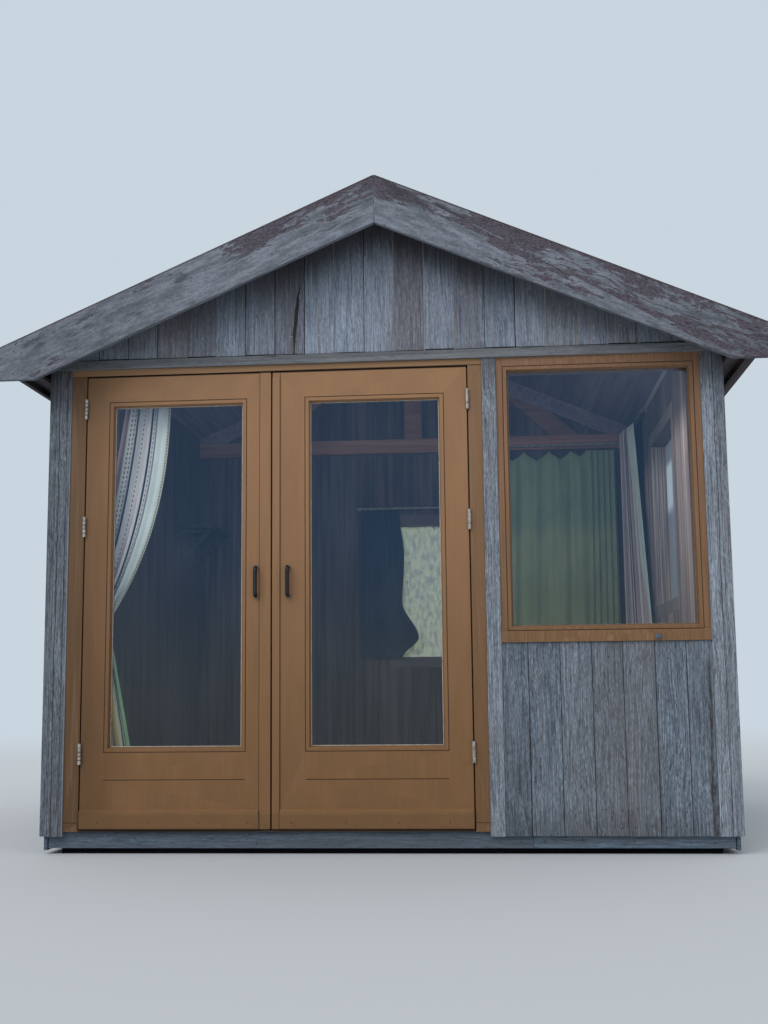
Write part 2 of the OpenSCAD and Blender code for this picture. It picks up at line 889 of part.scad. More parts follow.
module ridge_beam() {
  half = ridge_beam_w / 2;
  color("#9a8065")
    along_y(face_y + gable_t, inner_rear_y)
      polygon([
        [-half, ridge_beam_z],
        [half, ridge_beam_z],
        [half, roof_z(half, under_d)],
        [0, roof_z(0, under_d)],
        [-half, roof_z(half, under_d)]
      ]);
}

module tie_beam() {
  color("#9a7a63") block([-inner_x, truss_y, tie_z], [inner_x, inner_rear_y, tie_top]);
}

module king_post() {
  color("#9a7a63") block([-king_w / 2, truss_y, tie_top], [king_w / 2, inner_rear_y, ridge_beam_z]);
}

// Where a line that rises towards the middle from x on the tie beam meets the rafters' underside
brace_d = rafter_d + seat;
function brace_x(x) =
  (roof_z(0, brace_d) - tie_top - x * tan(brace_angle)) / (tan(roof_pitch) - tan(brace_angle));

module truss_braces() {
  inner_foot = brace_foot - brace_w / sin(brace_angle);
  color("#9a7a63")
    along_y(truss_y, inner_rear_y)
      for (side = [-1, 1])
        polygon([
          [side * brace_foot, tie_top],
          [side * brace_x(brace_foot), roof_z(brace_x(brace_foot), brace_d)],
          [side * brace_x(inner_foot), roof_z(brace_x(inner_foot), brace_d)],
          [side * inner_foot, tie_top]
        ]);
}

module truss_rafters() {
  half = ridge_beam_w / 2;
  heel = (roof_z(0, rafter_d) - tie_top) / tan(roof_pitch);
  color("#9a7a63")
    along_y(truss_y, inner_rear_y)
      for (side = [-1, 1])
        polygon([
          [side * half, roof_z(half, under_d)],
          [side * inner_x, roof_z(inner_x, under_d)],
          [side * inner_x, tie_top],
          [side * heel, tie_top],
          [side * half, roof_z(half, rafter_d)]
        ]);
}

// Roof

module roof_boards(side) {
  color("#7a6a58")
    along_y(roof_y0, roof_y1)
      roof_strip(side, seat / 2, roof_reach, felt_d, board_d);
}

module left_roof_boards() roof_boards(-1);
module right_roof_boards() roof_boards(1);

module roof_felt() {
  color("#3c3f42")
    along_y(roof_y0, roof_y1)
      polygon([
        [-roof_reach, roof_z(roof_reach, felt_d - seat)],
        [-roof_reach, roof_z(roof_reach, roofing_drop)],
        [0, roof_z(0, roofing_drop)],
        [roof_reach, roof_z(roof_reach, roofing_drop)],
        [roof_reach, roof_z(roof_reach, felt_d - seat)],
        [0, roof_z(0, felt_d - seat)]
      ]);
}

// One bargeboard: a plumb joint at the ridge, a plumb end and a level cut under the eaves
module bargeboard(side, y0) {
  joint = bargeboard_joint / 2;
  cut_x = (roof_z(0, bargeboard_w) - bargeboard_cut_z) / tan(roof_pitch);
  color("#77797f")
    along_y(y0, y0 + bargeboard_t)
      polygon([
        [side * joint, roof_z(joint, 0)],
        [side * bargeboard_reach, roof_z(bargeboard_reach, 0)],
        [side * bargeboard_reach, bargeboard_cut_z],
        [side * cut_x, bargeboard_cut_z],
        [side * joint, roof_z(joint, bargeboard_w)]
      ]);
}

module front_left_bargeboard() bargeboard(-1, face_y - front_overhang);
module front_right_bargeboard() bargeboard(1, face_y - front_overhang);
module rear_left_bargeboard() bargeboard(-1, roof_y1);
module rear_right_bargeboard() bargeboard(1, roof_y1);

// A boxed eave: the soffit board and the fascia that hangs below it
module eaves(side) {
  fascia_x = half_w + eaves_w;
  outer_x = fascia_x + fascia_t;
  color("#4c3a38")
    along_y(roof_y0, roof_y1)
      polygon([
        [side * half_w, soffit_z],
        [side * fascia_x, soffit_z],
        [side * fascia_x, bargeboard_cut_z],
        [side * outer_x, bargeboard_cut_z],
        [side * outer_x, roof_z(outer_x, under_d)],
        [side * fascia_x, roof_z(fascia_x, under_d)],
        [side * fascia_x, soffit_z + soffit_t],
        [side * half_w, soffit_z + soffit_t]
      ]);
}

module left_eaves() eaves(-1);
module right_eaves() eaves(1);

// Fittings

module curtain_rods() {
  color("#8d8f90") {
    translate([rear_rod_x0, truss_y - rod_off, rear_rod_z])
      rotate([0, 90, 0]) cylinder(r = rod_r, h = rear_rod_l, $fn = round_fn);
    for (x = [rear_rod_x0 + rod_arm_in, rear_rod_x1 - rod_arm_in])
      translate([x, truss_y - rod_off, rear_rod_z])
        rod_arm();
    translate([inner_x - rod_off, side_rod_y0, side_rod_z])
      rotate([-90, 0, 0]) cylinder(r = rod_r, h = side_rod_l, $fn = round_fn);
    for (y = [side_rod_y0 + rod_arm_in, side_rod_y1 - rod_arm_in])
      translate([inner_x - rod_off, y, side_rod_z])
        rotate([0, 0, -90]) rod_arm();
    translate([door_rod_x0, front_back_y + rod_off, door_rod_z])
      rotate([0, 90, 0]) cylinder(r = rod_r, h = door_rod_l, $fn = round_fn);
    for (x = [door_rod_x0 + rod_arm_in, door_rod_x1 - rod_arm_in])
      translate([x, front_back_y + rod_off, door_rod_z])
        rotate([0, 0, 180]) rod_arm();
    translate([window_rod_x0, window_rod_y, window_rod_z])
      rotate([0, 90, 0]) cylinder(r = rod_r, h = window_rod_x1 - window_rod_x0, $fn = round_fn);
    for (x = [window_rod_x0 + rod_arm_in, window_rod_x1 - rod_arm_in])
      translate([x, window_rod_y, window_rod_z])
        rod_arm();
  }
}

// The arm and round plate that hold a rod off the timber behind it, towards +Y
module rod_arm() {
  rotate([-90, 0, 0]) cylinder(r = rod_arm_r, h = rod_off, $fn = small_fn);
  translate([0, rod_off - rod_plate_t, 0])
    rotate([-90, 0, 0]) cylinder(r = rod_plate_r, h = rod_plate_t, $fn = small_fn);
}

// A hanging curtain fills the depth between the wall's side of its rod and the room
hang_gap = 4;
striped_curtain_in = 60;

module plain_curtain() {
  side = 45;
  color("#5f7a72")
    block(
      [rear_rod_x0 + side, truss_y - rod_off - curtain_t / 2, rail_top + plain_curtain_foot],
      [rear_rod_x1 - side, truss_y - rod_off + curtain_t / 2 - hang_gap, rear_rod_z - rod_r - seat]
    );
}

module striped_curtain() {
  top = side_rod_z - rod_r - seat;
  foot = rail_top + striped_curtain_foot;
  rear = side_rod_y1 - striped_curtain_in;
  back = inner_x - rod_off + curtain_t / 2 - hang_gap;
  color("#c9b7ab")
    along_x(back - striped_curtain_t, back)
      polygon([
        [rear - striped_curtain_w, top],
        [rear, top],
        [rear, foot],
        [rear - striped_curtain_w - striped_curtain_flare, foot]
      ]);
}

// The door curtain is drawn to the left by its tie-back, so its free edge is a curve
module door_curtain() {
  top = door_rod_z - rod_r - seat;
  tie = rail_top + tie_back_h;
  foot = rail_top + door_curtain_foot;
  left = -inner_x + 9;
  y = front_back_y + rod_off;
  steps = 6;
  sweep = 2.3;
  color("#d8d2c4")
    along_y(y - curtain_t / 2 + hang_gap, y + curtain_t / 2)
      polygon([
        [left, top],
        for (i = [0:steps])
          let (t = 1 - i / steps)
          [left + tie_back_w + (door_curtain_w - tie_back_w) * (1 - pow(1 - t, sweep)), tie + (top - tie) * t],
        [left + tie_back_w + door_curtain_flare, foot],
        [left, foot]
      ]);
}

// The rear curtain is tied back beside the rear window, and spreads again below its tie-back
module rear_curtain() {
  top = window_rod_z - rod_r - seat;
  edge = rear_window_x + rear_curtain_over;
  left = edge - rear_curtain_w;
  bulge = 30;
  color("#27303d")
    along_y(window_rod_y - curtain_t / 2, window_rod_y + curtain_t / 2 - hang_gap)
      polygon([
        [left, top],
        [edge, top],
        [edge + bulge, (top + rail_top + rear_tie_h) / 2],
        [edge + bulge / 2, rail_top + rear_tie_h],
        [edge + bulge / 2 + rear_flare, rail_top + rear_flare_h],
        [edge + bulge / 2, rail_top + rear_curtain_foot],
        [left, rail_top + rear_curtain_foot]
      ]);
}

module wall_shelf() {
  y1 = inner_rear_y - shelf_back;
  y0 = y1 - shelf_l;
  bracket_t = 18;
  bracket_in = 60;
  bar = 22;
  tip = 30;
  foot = 20;
  color("#6d4c33") {
    block([-inner_x, y0, shelf_z], [-inner_x + shelf_d, y1, shelf_z + shelf_t]);
    for (y = [y0 + bracket_in, y1 - bracket_in - bracket_t])
      along_y(y, y + bracket_t)
        difference() {
          polygon([
            [-inner_x, shelf_z + eps],
            [-inner_x + shelf_d - tip, shelf_z + eps],
            [-inner_x + shelf_d - tip, shelf_z - bar],
            [-inner_x + foot, shelf_z - shelf_d + foot],
            [-inner_x, shelf_z - shelf_d + foot]
          ]);
          polygon([
            [-inner_x + bar, shelf_z - bar],
            [-inner_x + shelf_d - tip - 1.5 * bar, shelf_z - bar],
            [-inner_x + bar, shelf_z - shelf_d + foot + 2 * bar]
          ]);
        }
  }
}

ground_bearers();
base_rails();
floor();
left_front_post();
mullion_post();
right_front_post();
front_header();
head_rail();
front_gable();
front_wall();
left_wall();
right_wall();
rear_wall();
left_jamb();
right_jamb();
door_head();
threshold();
front_window_frame();
front_window_glass();
side_window_frame();
side_window_glass();
rear_window_frame();
rear_window_glass();
ridge_beam();
tie_beam();
king_post();
truss_braces();
truss_rafters();
left_roof_boards();
right_roof_boards();
roof_felt();
front_left_bargeboard();
front_right_bargeboard();
rear_left_bargeboard();
rear_right_bargeboard();
left_eaves();
right_eaves();
curtain_rods();
plain_curtain();
striped_curtain();
door_curtain();
rear_curtain();
wall_shelf();
jamb_hinges();
left_door();
left_door_glass();
left_handle();
left_hinges();
right_door();
right_door_glass();
right_handle();
right_hinges();
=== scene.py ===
"""The looks of a weathered beach hut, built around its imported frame. Metres, +Z up, the front faces -Y."""

import math
import random

import bmesh
import bpy
from mathutils import Matrix, Vector


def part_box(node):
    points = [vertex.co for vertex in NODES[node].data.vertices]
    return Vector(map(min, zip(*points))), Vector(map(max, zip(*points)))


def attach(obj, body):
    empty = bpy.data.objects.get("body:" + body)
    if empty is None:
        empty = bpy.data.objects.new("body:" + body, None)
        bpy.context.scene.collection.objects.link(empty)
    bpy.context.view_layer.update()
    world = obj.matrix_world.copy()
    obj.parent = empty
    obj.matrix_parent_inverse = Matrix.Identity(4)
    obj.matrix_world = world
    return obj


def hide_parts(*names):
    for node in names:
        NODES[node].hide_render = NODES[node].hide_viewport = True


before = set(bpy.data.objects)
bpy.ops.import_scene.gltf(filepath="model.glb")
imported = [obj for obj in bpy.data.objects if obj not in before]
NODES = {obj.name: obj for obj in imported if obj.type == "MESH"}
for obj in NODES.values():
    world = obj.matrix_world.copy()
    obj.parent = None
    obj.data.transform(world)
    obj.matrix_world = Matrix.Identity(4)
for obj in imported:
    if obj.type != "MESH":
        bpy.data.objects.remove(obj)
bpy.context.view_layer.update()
MM = 0.001
RNG = random.Random(11)


def show(name, data):
    """A new object of this data, in the scene."""
    made = bpy.data.objects.new(name, data)
    bpy.context.scene.collection.objects.link(made)
    return made


# Camera

CAMERA_AT = Vector((0.478, -6.764, 0.708))
CAMERA_YAW = math.radians(4.818)
CAMERA_PITCH = math.radians(7.787)
CAMERA_ROLL = math.radians(-0.588)
LENS = 44.745
SENSOR_H = 36.0


def make_camera():
    """The photograph's own view: a low eye, looking slightly up and to the left."""
    data = bpy.data.cameras.new("camera")
    data.sensor_fit = "VERTICAL"
    data.sensor_height = SENSOR_H
    data.lens = LENS
    ahead = Vector((
        -math.sin(CAMERA_YAW) * math.cos(CAMERA_PITCH),
        math.cos(CAMERA_YAW) * math.cos(CAMERA_PITCH),
        math.sin(CAMERA_PITCH),
    ))
    level = Vector((math.cos(CAMERA_YAW), math.sin(CAMERA_YAW), 0))
    upright = level.cross(ahead)
    right = level * math.cos(CAMERA_ROLL) + upright * math.sin(CAMERA_ROLL)
    up = upright * math.cos(CAMERA_ROLL) - level * math.sin(CAMERA_ROLL)
    camera = show("camera", data)
    turn = Matrix((right, up, -ahead)).transposed()
    camera.matrix_world = Matrix.Translation(CAMERA_AT) @ turn.to_4x4()
    bpy.context.scene.camera = camera


make_camera()


# Measures read from the frame, and the roof's pitch

def edges(node):
    """A node's low and high corners as two plain lists."""
    low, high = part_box(node)
    return list(low), list(high)


GABLE_LOW, GABLE_HIGH = edges("front_gable")
PANEL_LOW, PANEL_HIGH = edges("front_wall")
SIDE_LOW, SIDE_HIGH = edges("right_wall")
REAR_LOW, REAR_HIGH = edges("rear_wall")
FLOOR_LOW, FLOOR_HIGH = edges("floor")
ROOF_LOW, ROOF_HIGH = edges("right_roof_boards")
FELT_LOW, FELT_HIGH = edges("roof_felt")
BARGE_TOP = edges("front_right_bargeboard")[1][2]
DOOR_TOP = edges("left_door")[1][2]
FRAME_X = GABLE_HIGH[0]
HALF_W = SIDE_HIGH[0]
INNER_X = SIDE_LOW[0]
FACE_Y = GABLE_LOW[1]
BACK_Y = PANEL_HIGH[1]
REAR_Y = REAR_HIGH[1]
ROOM_Y = REAR_LOW[1]
PITCH = math.radians(23.5)
SLOPE = math.tan(PITCH)
LAP_Z = PANEL_LOW[2]
RAIL_TOP = FLOOR_HIGH[2]
SKIRT_LOW = SIDE_LOW[2]
WALL_APEX = REAR_HIGH[2]
GABLE_BOTTOM = GABLE_LOW[2]
SIDE_PANE_X = (edges("side_window_glass")[0][0] + edges("side_window_glass")[1][0]) / 2


def under_roof(x, apex=WALL_APEX):
    """The height of a plane that falls to both sides from its apex at the middle."""
    return apex - SLOPE * abs(x)


# Sizes of the boarding, and places of the marks on it

BOARD_T = 18 * MM
SIDE_BOARDING = 33 * MM
REAR_BOARDING = 22 * MM
LINING_T = 12 * MM
BARGE_W = 200 * MM
BARGE_LAP = 45 * MM
HEAD_GAP = 3 * MM
PANEL_BACK = 22 * MM
SKIRT_OUT = (3 * MM, 19 * MM)
SKIRT_BACK = 22 * MM
FLOOR_T = 21 * MM
FLOOR_PITCH = 118 * MM
FLOOR_PHASE = 20 * MM
ROOF_T = 22 * MM
ROOF_PITCH = 125 * MM
SIDE_PITCH = 134 * MM
LINING_PITCH = 120 * MM
GABLE_PITCH = 134.4 * MM
GABLE_PHASE = 67 * MM
WARM_BOARDS = ((-8, 0.5), (-7, 0.5), (-4, 0.45), (0, 0.75), (2, 0.4), (6, 0.4), (7, 0.5))
WARM_TINT = (0.62, 0.50, 0.46, 1.0)
SLIT_X = GABLE_PHASE - 3 * GABLE_PITCH - 50 * MM
PANEL_SEAMS = [0.515, 0.626, 0.761, 0.895, 1.026, 1.161, 1.292, 1.400]
STRIP_LINES = (-0.5385, -0.4465)
LEDGE_TOP = 0.170
POST_SHAKES = ((-1.4525, 0.0022), (-1.418, 0.0016), (1.452, 0.0018))
POST_SEAM = (-1.4035, -1.3990)
FLAKE = 0.575
THREAD = 1.6 * MM
HEAD_ON_SHINE = 0.053
BARE_FROM = (44 * MM, 48 * MM)
SIDE_GLARE = ((0.13, 0.40), (1.68, 1.88))


# Materials

def srgb(r, g, b):
    """A colour given in screen values from 0 to 255, as the linear colour that a shader takes."""
    def one(v):
        v /= 255
        return v / 12.92 if v <= 0.04045 else ((v + 0.055) / 1.055) ** 2.4
    return (one(r), one(g), one(b), 1.0)


class Wire:
    """A node's output, worked with as a number is."""

    def __init__(self, paint, socket):
        self.paint = paint
        self.socket = socket

    def __add__(self, other):
        return self.paint.math("ADD", self, other)

    def __sub__(self, other):
        return self.paint.math("SUBTRACT", self, other)

    def __rsub__(self, other):
        return self.paint.math("SUBTRACT", other, self)

    def __mul__(self, other):
        return self.paint.math("MULTIPLY", self, other)

    def __truediv__(self, other):
        return self.paint.math("DIVIDE", self, other)

    def __pow__(self, other):
        return self.paint.math("POWER", self, other)

    def __lt__(self, other):
        return self.paint.math("LESS_THAN", self, other)

    def __gt__(self, other):
        return self.paint.math("GREATER_THAN", self, other)

    def __abs__(self):
        return self.paint.math("ABSOLUTE", self)


class Paint:
    """One procedural material, with short calls that add and join its nodes."""

    def __init__(self, name, rough=0.8, metal=0.0, gloss=0.3):
        self.material = bpy.data.materials.new(name)
        self.material.use_nodes = True
        self.tree = self.material.node_tree
        self.shader = self.tree.nodes["Principled BSDF"]
        self.shader.inputs["Roughness"].default_value = rough
        self.shader.inputs["Metallic"].default_value = metal
        self.shader.inputs["Specular IOR Level"].default_value = gloss
        self.where = self.take("TexCoord", "Object")
        self.island = self.take("NewGeometry", "Random Per Island")

    def add(self, kind, inputs=None, **settings):
        """A new node, with its settings, and its inputs by name or number."""
        node = self.tree.nodes.new("ShaderNode" + kind)
        for key, value in settings.items():
            setattr(node, key, value)
        for key, value in (inputs or {}).items():
            self.put(node.inputs[key], value)
        return node

    def take(self, kind, output, inputs=None, **settings):
        """One output of a new node."""
        return Wire(self, self.add(kind, inputs, **settings).outputs[output])

    def put(self, socket, value):
        """Joins a node's output to a socket, or sets the socket's own value."""
        if isinstance(value, Wire):
            self.tree.links.new(value.socket, socket)
        else:
            socket.default_value = value

    def math(self, operation, a, b=0.0):
        return self.take("Math", 0, {0: a, 1: b}, operation=operation)

    def sine(self, value, period):
        return self.math("SINE", value * (2 * math.pi / period))

    def noise(self, at, scale, detail=3, rough=0.55):
        """Soft noise from 0 to 1, with scale cells a metre along each axis."""
        vector = self.take("Mapping", "Vector", {"Vector": at, "Scale": scale})
        inputs = {"Vector": vector, "Scale": 1.0, "Detail": detail, "Roughness": rough}
        return self.take("TexNoise", "Fac", inputs)

    def sway(self, at, scale, amount, detail=3):
        """Soft noise about 0, amount wide in all."""
        return (self.noise(at, scale, detail) - 0.5) * amount

    def span(self, value, low, high, to_low=0.0, to_high=1.0):
        """value from low to high, eased into to_low to to_high and held there outside."""
        inputs = {"Value": value, "From Min": low, "From Max": high, "To Min": to_low, "To Max": to_high}
        return self.take("MapRange", "Result", inputs, interpolation_type="SMOOTHSTEP")

    def mix(self, share, a, b, blend="MIX"):
        return self.take("Mix", 2, {0: share, 6: a, 7: b}, data_type="RGBA", blend_type=blend)

    def dim(self, colour, amount):
        """colour times a number, which may come from a node."""
        grey = self.take("CombineColor", 0, {0: amount, 1: amount, 2: amount})
        return self.mix(1.0, colour, grey, "MULTIPLY")

    def shade(self, colour, *spanned):
        """colour made darker or lighter by a span."""
        return self.dim(colour, self.span(*spanned))

    def cover(self, colour, value, low, high, share, over):
        """Another colour laid over this one, by up to share as value goes from low to high."""
        return self.mix(self.span(value, low, high, 0.0, share), colour, over)

    def parts(self, vector):
        """The three numbers of a vector."""
        return [Wire(self, socket) for socket in self.add("SeparateXYZ", {0: vector}).outputs]

    def moved(self, at, shift):
        return self.take("VectorMath", 0, {0: at, 1: shift}, operation="ADD")

    def grain(self, turn=0.0, axis=(0, 1, 0)):
        """The place in the hut, turned so that the grain runs along Z, and shifted for each loose board."""
        turned = self.take("VectorRotate", 0, {"Vector": self.where, "Axis": axis, "Angle": turn})
        shift = {i: self.island * far for i, far in enumerate((31, 17, 53))}
        return self.moved(turned, self.take("CombineXYZ", 0, shift))

    def bent(self, at, scale, amount):
        """A place pushed sideways by soft noise, so that straight grain flows in curves."""
        push = self.sway(at, scale, amount, 2)
        return self.moved(at, self.take("CombineXYZ", 0, {0: push, 1: push}))

    def other_random(self):
        """A second random number for each loose board."""
        return self.take("TexWhiteNoise", "Value", {"W": self.island}, noise_dimensions="1D")

    def blend(self, share, a, b):
        return self.take("MixShader", 0, {0: share, 1: a, 2: b})

    def finish(self, colour, height=None, strength=0.4, depth=1 * MM, rough=None):
        """Gives the plain shader its colour, bump and roughness."""
        self.put(self.shader.inputs["Base Color"], colour)
        if rough is not None:
            self.put(self.shader.inputs["Roughness"], rough)
        if height is not None:
            bump = self.take("Bump", "Normal", {"Strength": strength, "Distance": depth, "Height": height})
            self.put(self.shader.inputs["Normal"], bump)
        return self.material

    def finish_as(self, shader):
        """Shows another shader in place of the plain one."""
        self.put(self.tree.nodes["Material Output"].inputs["Surface"], shader)
        return self.material


UPRIGHT = (0.0, (0, 1, 0))
ACROSS = (-math.pi / 2, (0, 1, 0))
INWARD = (math.pi / 2, (1, 0, 0))
RISE_RIGHT = (PITCH - math.pi / 2, (0, 1, 0))
RISE_LEFT = (-PITCH - math.pi / 2, (0, 1, 0))


def band(place, start, end):
    """1 between two places, and 0 elsewhere."""
    return (place > start) * (place < end)


def below_edge(x, z, drop):
    """How far a point lies below a line that falls with the roof, drop metres under its top edge."""
    return (BARGE_TOP - drop) - abs(x) * SLOPE - z


def weathered(name, grain, tones, brown_share, boards=(0.82, 1.14), extra=None, dashes=0.25):
    """Silvered softwood: streaks and dashes along the grain, open checks, warm patches, a tone a board."""
    light, dark, brown = (srgb(*tone) for tone in tones)
    p = Paint(name, rough=0.88, gloss=0.15)
    at = p.bent(p.grain(*grain), (4, 4, 1.3), 0.09)
    streak = p.noise(at, (180, 180, 4.0), 5, 0.62)
    dash = p.noise(at, (300, 300, 45), 3, 0.6)
    broad = p.noise(at, (24, 24, 0.9), 3, 0.5)
    patch = p.noise(at, (8, 8, 1.8), 4, 0.6)
    check = p.noise(at, (60, 60, 1.3), 2, 0.45)
    colour = p.mix(p.span(streak, 0.25, 0.75), dark, light)
    colour = p.cover(colour, broad, 0.40, 0.75, brown_share, brown)
    colour = p.shade(colour, patch, 0.28, 0.72, 0.84, 1.14)
    colour = p.shade(colour, dash, 0.30, 0.70, 1 - dashes, 1 + dashes)
    crack = p.span(abs(check - 0.5), 0.012, 0.002) * p.span(patch, 0.50, 0.62)
    colour = p.mix(crack * 0.75, colour, srgb(28, 28, 32))
    colour = p.cover(colour, p.other_random(), 0.70, 1.0, 0.40, brown)
    colour = p.shade(colour, p.island, 0.0, 1.0, *boards)
    if extra:
        colour = extra(p, colour, at)
    return p.finish(colour, streak + dash * 0.4 - crack)


def gable_marks_and_shade(p, colour, at):
    """The gable: a painted shadow under the bargeboards, painted light below it and at the sides, warmer
    boards, one open shake.
    """
    x, _, z = p.parts(p.where)
    for k, share in WARM_BOARDS:
        start = GABLE_PHASE + k * GABLE_PITCH
        board = band(x, start, start + GABLE_PITCH) * share
        colour = p.mix(board, colour, WARM_TINT, "MULTIPLY")
    out = abs(x)
    below = below_edge(x, z, BARGE_W / math.cos(PITCH) - BARGE_LAP)
    # Painted light: lighter further below the bargeboards and towards the sides, where their shade falls
    # off.
    colour = p.shade(colour, below, 0.06, 0.40, 1.0, 1.10)
    colour = p.shade(colour, out, 0.35, 1.05, 1.0, 1.42)
    # Painted shadow under the bargeboards, ragged at its lower edge and strongest near the middle.
    ragged = below + p.sway(at, (70, 70, 3), 0.16)
    painted_shadow = p.span(ragged, 0.18, 0.0) * p.span(out, 0.25, 0.80, 0.80, 0.42)
    colour = p.mix(painted_shadow, colour, srgb(54, 50, 51))
    rise = z - GABLE_BOTTOM
    middle = rise * 0.09 + p.sway(p.where, (9, 9, 7), 0.03) + SLIT_X
    wide = p.span(rise, 0.36, 0.20) * p.span(rise, 0.0, 0.12, 3 * MM, 8 * MM)
    slit = abs(x - middle) < wide
    return p.mix(slit * 0.85, colour, srgb(30, 29, 32))


def old_board(name, grain, patches):
    """A bargeboard: streaky grey wood with flakes of purple-brown paint, most near the ridge and on top."""
    p = Paint(name, rough=0.85, gloss=0.15)
    at = p.bent(p.grain(*grain), (5, 5, 1.6), 0.06)
    x, _, z = p.parts(p.where)
    out = abs(x)
    drop = below_edge(x, z, 0.0)
    speck = p.noise(at, (240, 240, 80), 3, 0.65)
    cloud = p.noise(at, (42, 42, 9), 5, 0.68)
    broad = p.noise(at, (10, 10, 2.4), 4, 0.6)
    flow = p.noise(p.bent(at, (9, 9, 3), 0.16), (80, 80, 5), 4, 0.6)
    damp = p.noise(at, (11, 11, 4), 4, 0.65)
    colour = p.mix(p.span(cloud, 0.30, 0.70), srgb(92, 97, 105), srgb(130, 136, 147))
    colour = p.shade(colour, speck, 0.32, 0.68, 0.80, 1.18)
    colour = p.shade(colour, broad, 0.3, 0.7, 1.08, 0.93)
    colour = p.shade(colour, out, 0.70, 1.20, 1.0, 0.87)
    ridge = p.span(drop, 0.15, 0.03) * p.span(out, 0.90, 0.50, 0.0, 0.09)
    worn = broad * 0.42 + cloud * 0.26 + flow * 0.32 + ridge + p.span(out, 0.35, 0.60, 0.0, patches)
    paint = p.mix(p.span(speck, 0.35, 0.65), srgb(53, 47, 55), srgb(96, 87, 97))
    colour = p.cover(colour, worn, FLAKE - 0.01, FLAKE + 0.02, 0.88, paint)
    colour = p.cover(colour, abs(worn - FLAKE), 0.007, 0.0, 0.5, srgb(52, 48, 54))
    colour = p.cover(colour, abs(worn - (FLAKE - 0.022)), 0.006, 0.0, 0.35, srgb(142, 146, 156))
    dark = p.span(damp, 0.56, 0.66) * p.span(drop, 0.16, 0.03, 0.1, 0.7)
    colour = p.mix(dark, colour, srgb(62, 63, 69))
    colour = p.cover(colour, drop, 0.011, 0.004, 0.7, srgb(66, 56, 54))
    return p.finish(colour, cloud + speck * 0.5)


def stained_foot(p, colour, at):
    """The wall panel: a damp brown edge beside the right post, a drip, and darker wood near the ground."""
    x, _, z = p.parts(p.where)
    edge = x + p.sway(p.where, (40, 40, 5), 0.06)
    colour = p.shade(colour, x, 1.150, 1.172, 1.0, 1.22)
    near = p.span(edge, 1.366, 1.378) * p.span(edge, 1.396, 1.386)
    broken = p.span(p.noise(p.where, (150, 150, 12), 4), 0.36, 0.58, 0.30, 1.0)
    low = p.span(z, 0.90, 0.72, 0.35, 1.0) * broken
    colour = p.mix(near * low * 0.85, colour, srgb(52, 46, 43))
    drip = p.span(edge, 1.160, 1.172) * p.span(edge, 1.196, 1.184)
    colour = p.mix(drip * p.span(z, 0.70, 0.888, 0.0, 0.35), colour, srgb(66, 62, 60))
    return p.cover(colour, z, 0.22, 0.09, 0.3, srgb(50, 50, 52))


def post_marks_and_shade(p, colour, at):
    """The posts and side boards: painted shade on the left, open shakes, a seam, and browner painted shade
    at the top.
    """
    x, _, z = p.parts(p.where)
    bent = x + p.sway(p.where, (9, 9, 3), 0.014)
    # Painted shade: darker left of about x = -1.38.
    colour = p.shade(colour, x, -1.39, -1.36, 0.66, 1.0)
    for place, wide in POST_SHAKES:
        line = abs(bent - place) < wide
        colour = p.mix(line * 0.75, colour, srgb(34, 34, 38))
    colour = p.mix(band(x, *POST_SEAM) * 0.5, colour, srgb(150, 156, 164))
    # Painted shade at the top, under the bargeboards.
    return p.cover(colour, z, 1.90, 2.14, 0.55, srgb(70, 66, 66))


def stain(name, foot, head, grain=UPRIGHT, sides=(), worn=0.05, extra=None):
    """Opaque tan wood stain: faint brushed grain, painted light from above, darker at the foot, painted
    shade at the sides, and grime near the ground.
    """
    p = Paint(name, rough=0.55, gloss=0.18)
    at = p.grain(*grain)
    brush = p.noise(at, (150, 150, 3.5), 5, 0.65)
    cloud = p.noise(at, (7, 7, 2.5), 3, 0.5)
    x, y, z = p.parts(p.where)
    # Painted light: the colour grades from a shaded foot to a lit head.
    colour = p.mix(p.span(z, 0.15, 2.1), srgb(*foot), srgb(*head))
    # Painted shade towards the sides that each span gives.
    for side in sides:
        colour = p.shade(colour, x, *side)
    colour = p.shade(colour, cloud, 0.25, 0.75, 0.93, 1.07)
    colour = p.shade(colour, brush, 0.3, 0.7, 1 - worn, 1 + worn)
    colour = p.cover(colour, p.noise(at, (60, 60, 1.5), 2), 0.5, 0.75, worn * 3, srgb(150, 118, 96))
    grime = p.span(z, 0.20, 0.10) * p.span(p.noise(at, (26, 26, 20), 4), 0.5, 0.72, 0.0, 0.3)
    colour = p.mix(grime, colour, srgb(76, 60, 44))
    if extra:
        colour = extra(p, colour, x, y, z)
    return p.finish(colour, brush, 0.12, 0.6 * MM, p.span(cloud, 0.3, 0.7, 0.48, 0.62))


# Painted shade for the gaps over and beside the doors.
GAP_SHADE = srgb(30, 21, 17)


def strip_edges_and_shade(p, colour, x, y, z):
    """Painted shade with grime beside the planted strips, a painted shadow of the gap at the doors' top
    edge, and darker boards at their feet.
    """
    # Lines beside the planted strips: painted shade with grime in the corners.
    for place in STRIP_LINES:
        colour = p.mix(band(x, place - 1.5 * MM, place + 1.5 * MM) * 0.8, colour, GAP_SHADE)
    colour = p.cover(colour, z, LEDGE_TOP + 2 * MM, LEDGE_TOP - 2 * MM, 0.5, srgb(104, 78, 52))
    # Painted shadow of the gap at the doors' top edge.
    return p.cover(colour, z, DOOR_TOP - 5 * MM, DOOR_TOP - 2 * MM, 0.8, GAP_SHADE)


def head_shadow(p, colour, x, y, z):
    """The lower edge of the door head: a painted shadow of the gap over the doors, thicker over the right
    door.
    """
    low = z < p.span(x, -0.75, -0.30, 3.0 * MM, 6.0 * MM) + (DOOR_TOP + HEAD_GAP)
    return p.mix(low * 0.85, colour, GAP_SHADE)


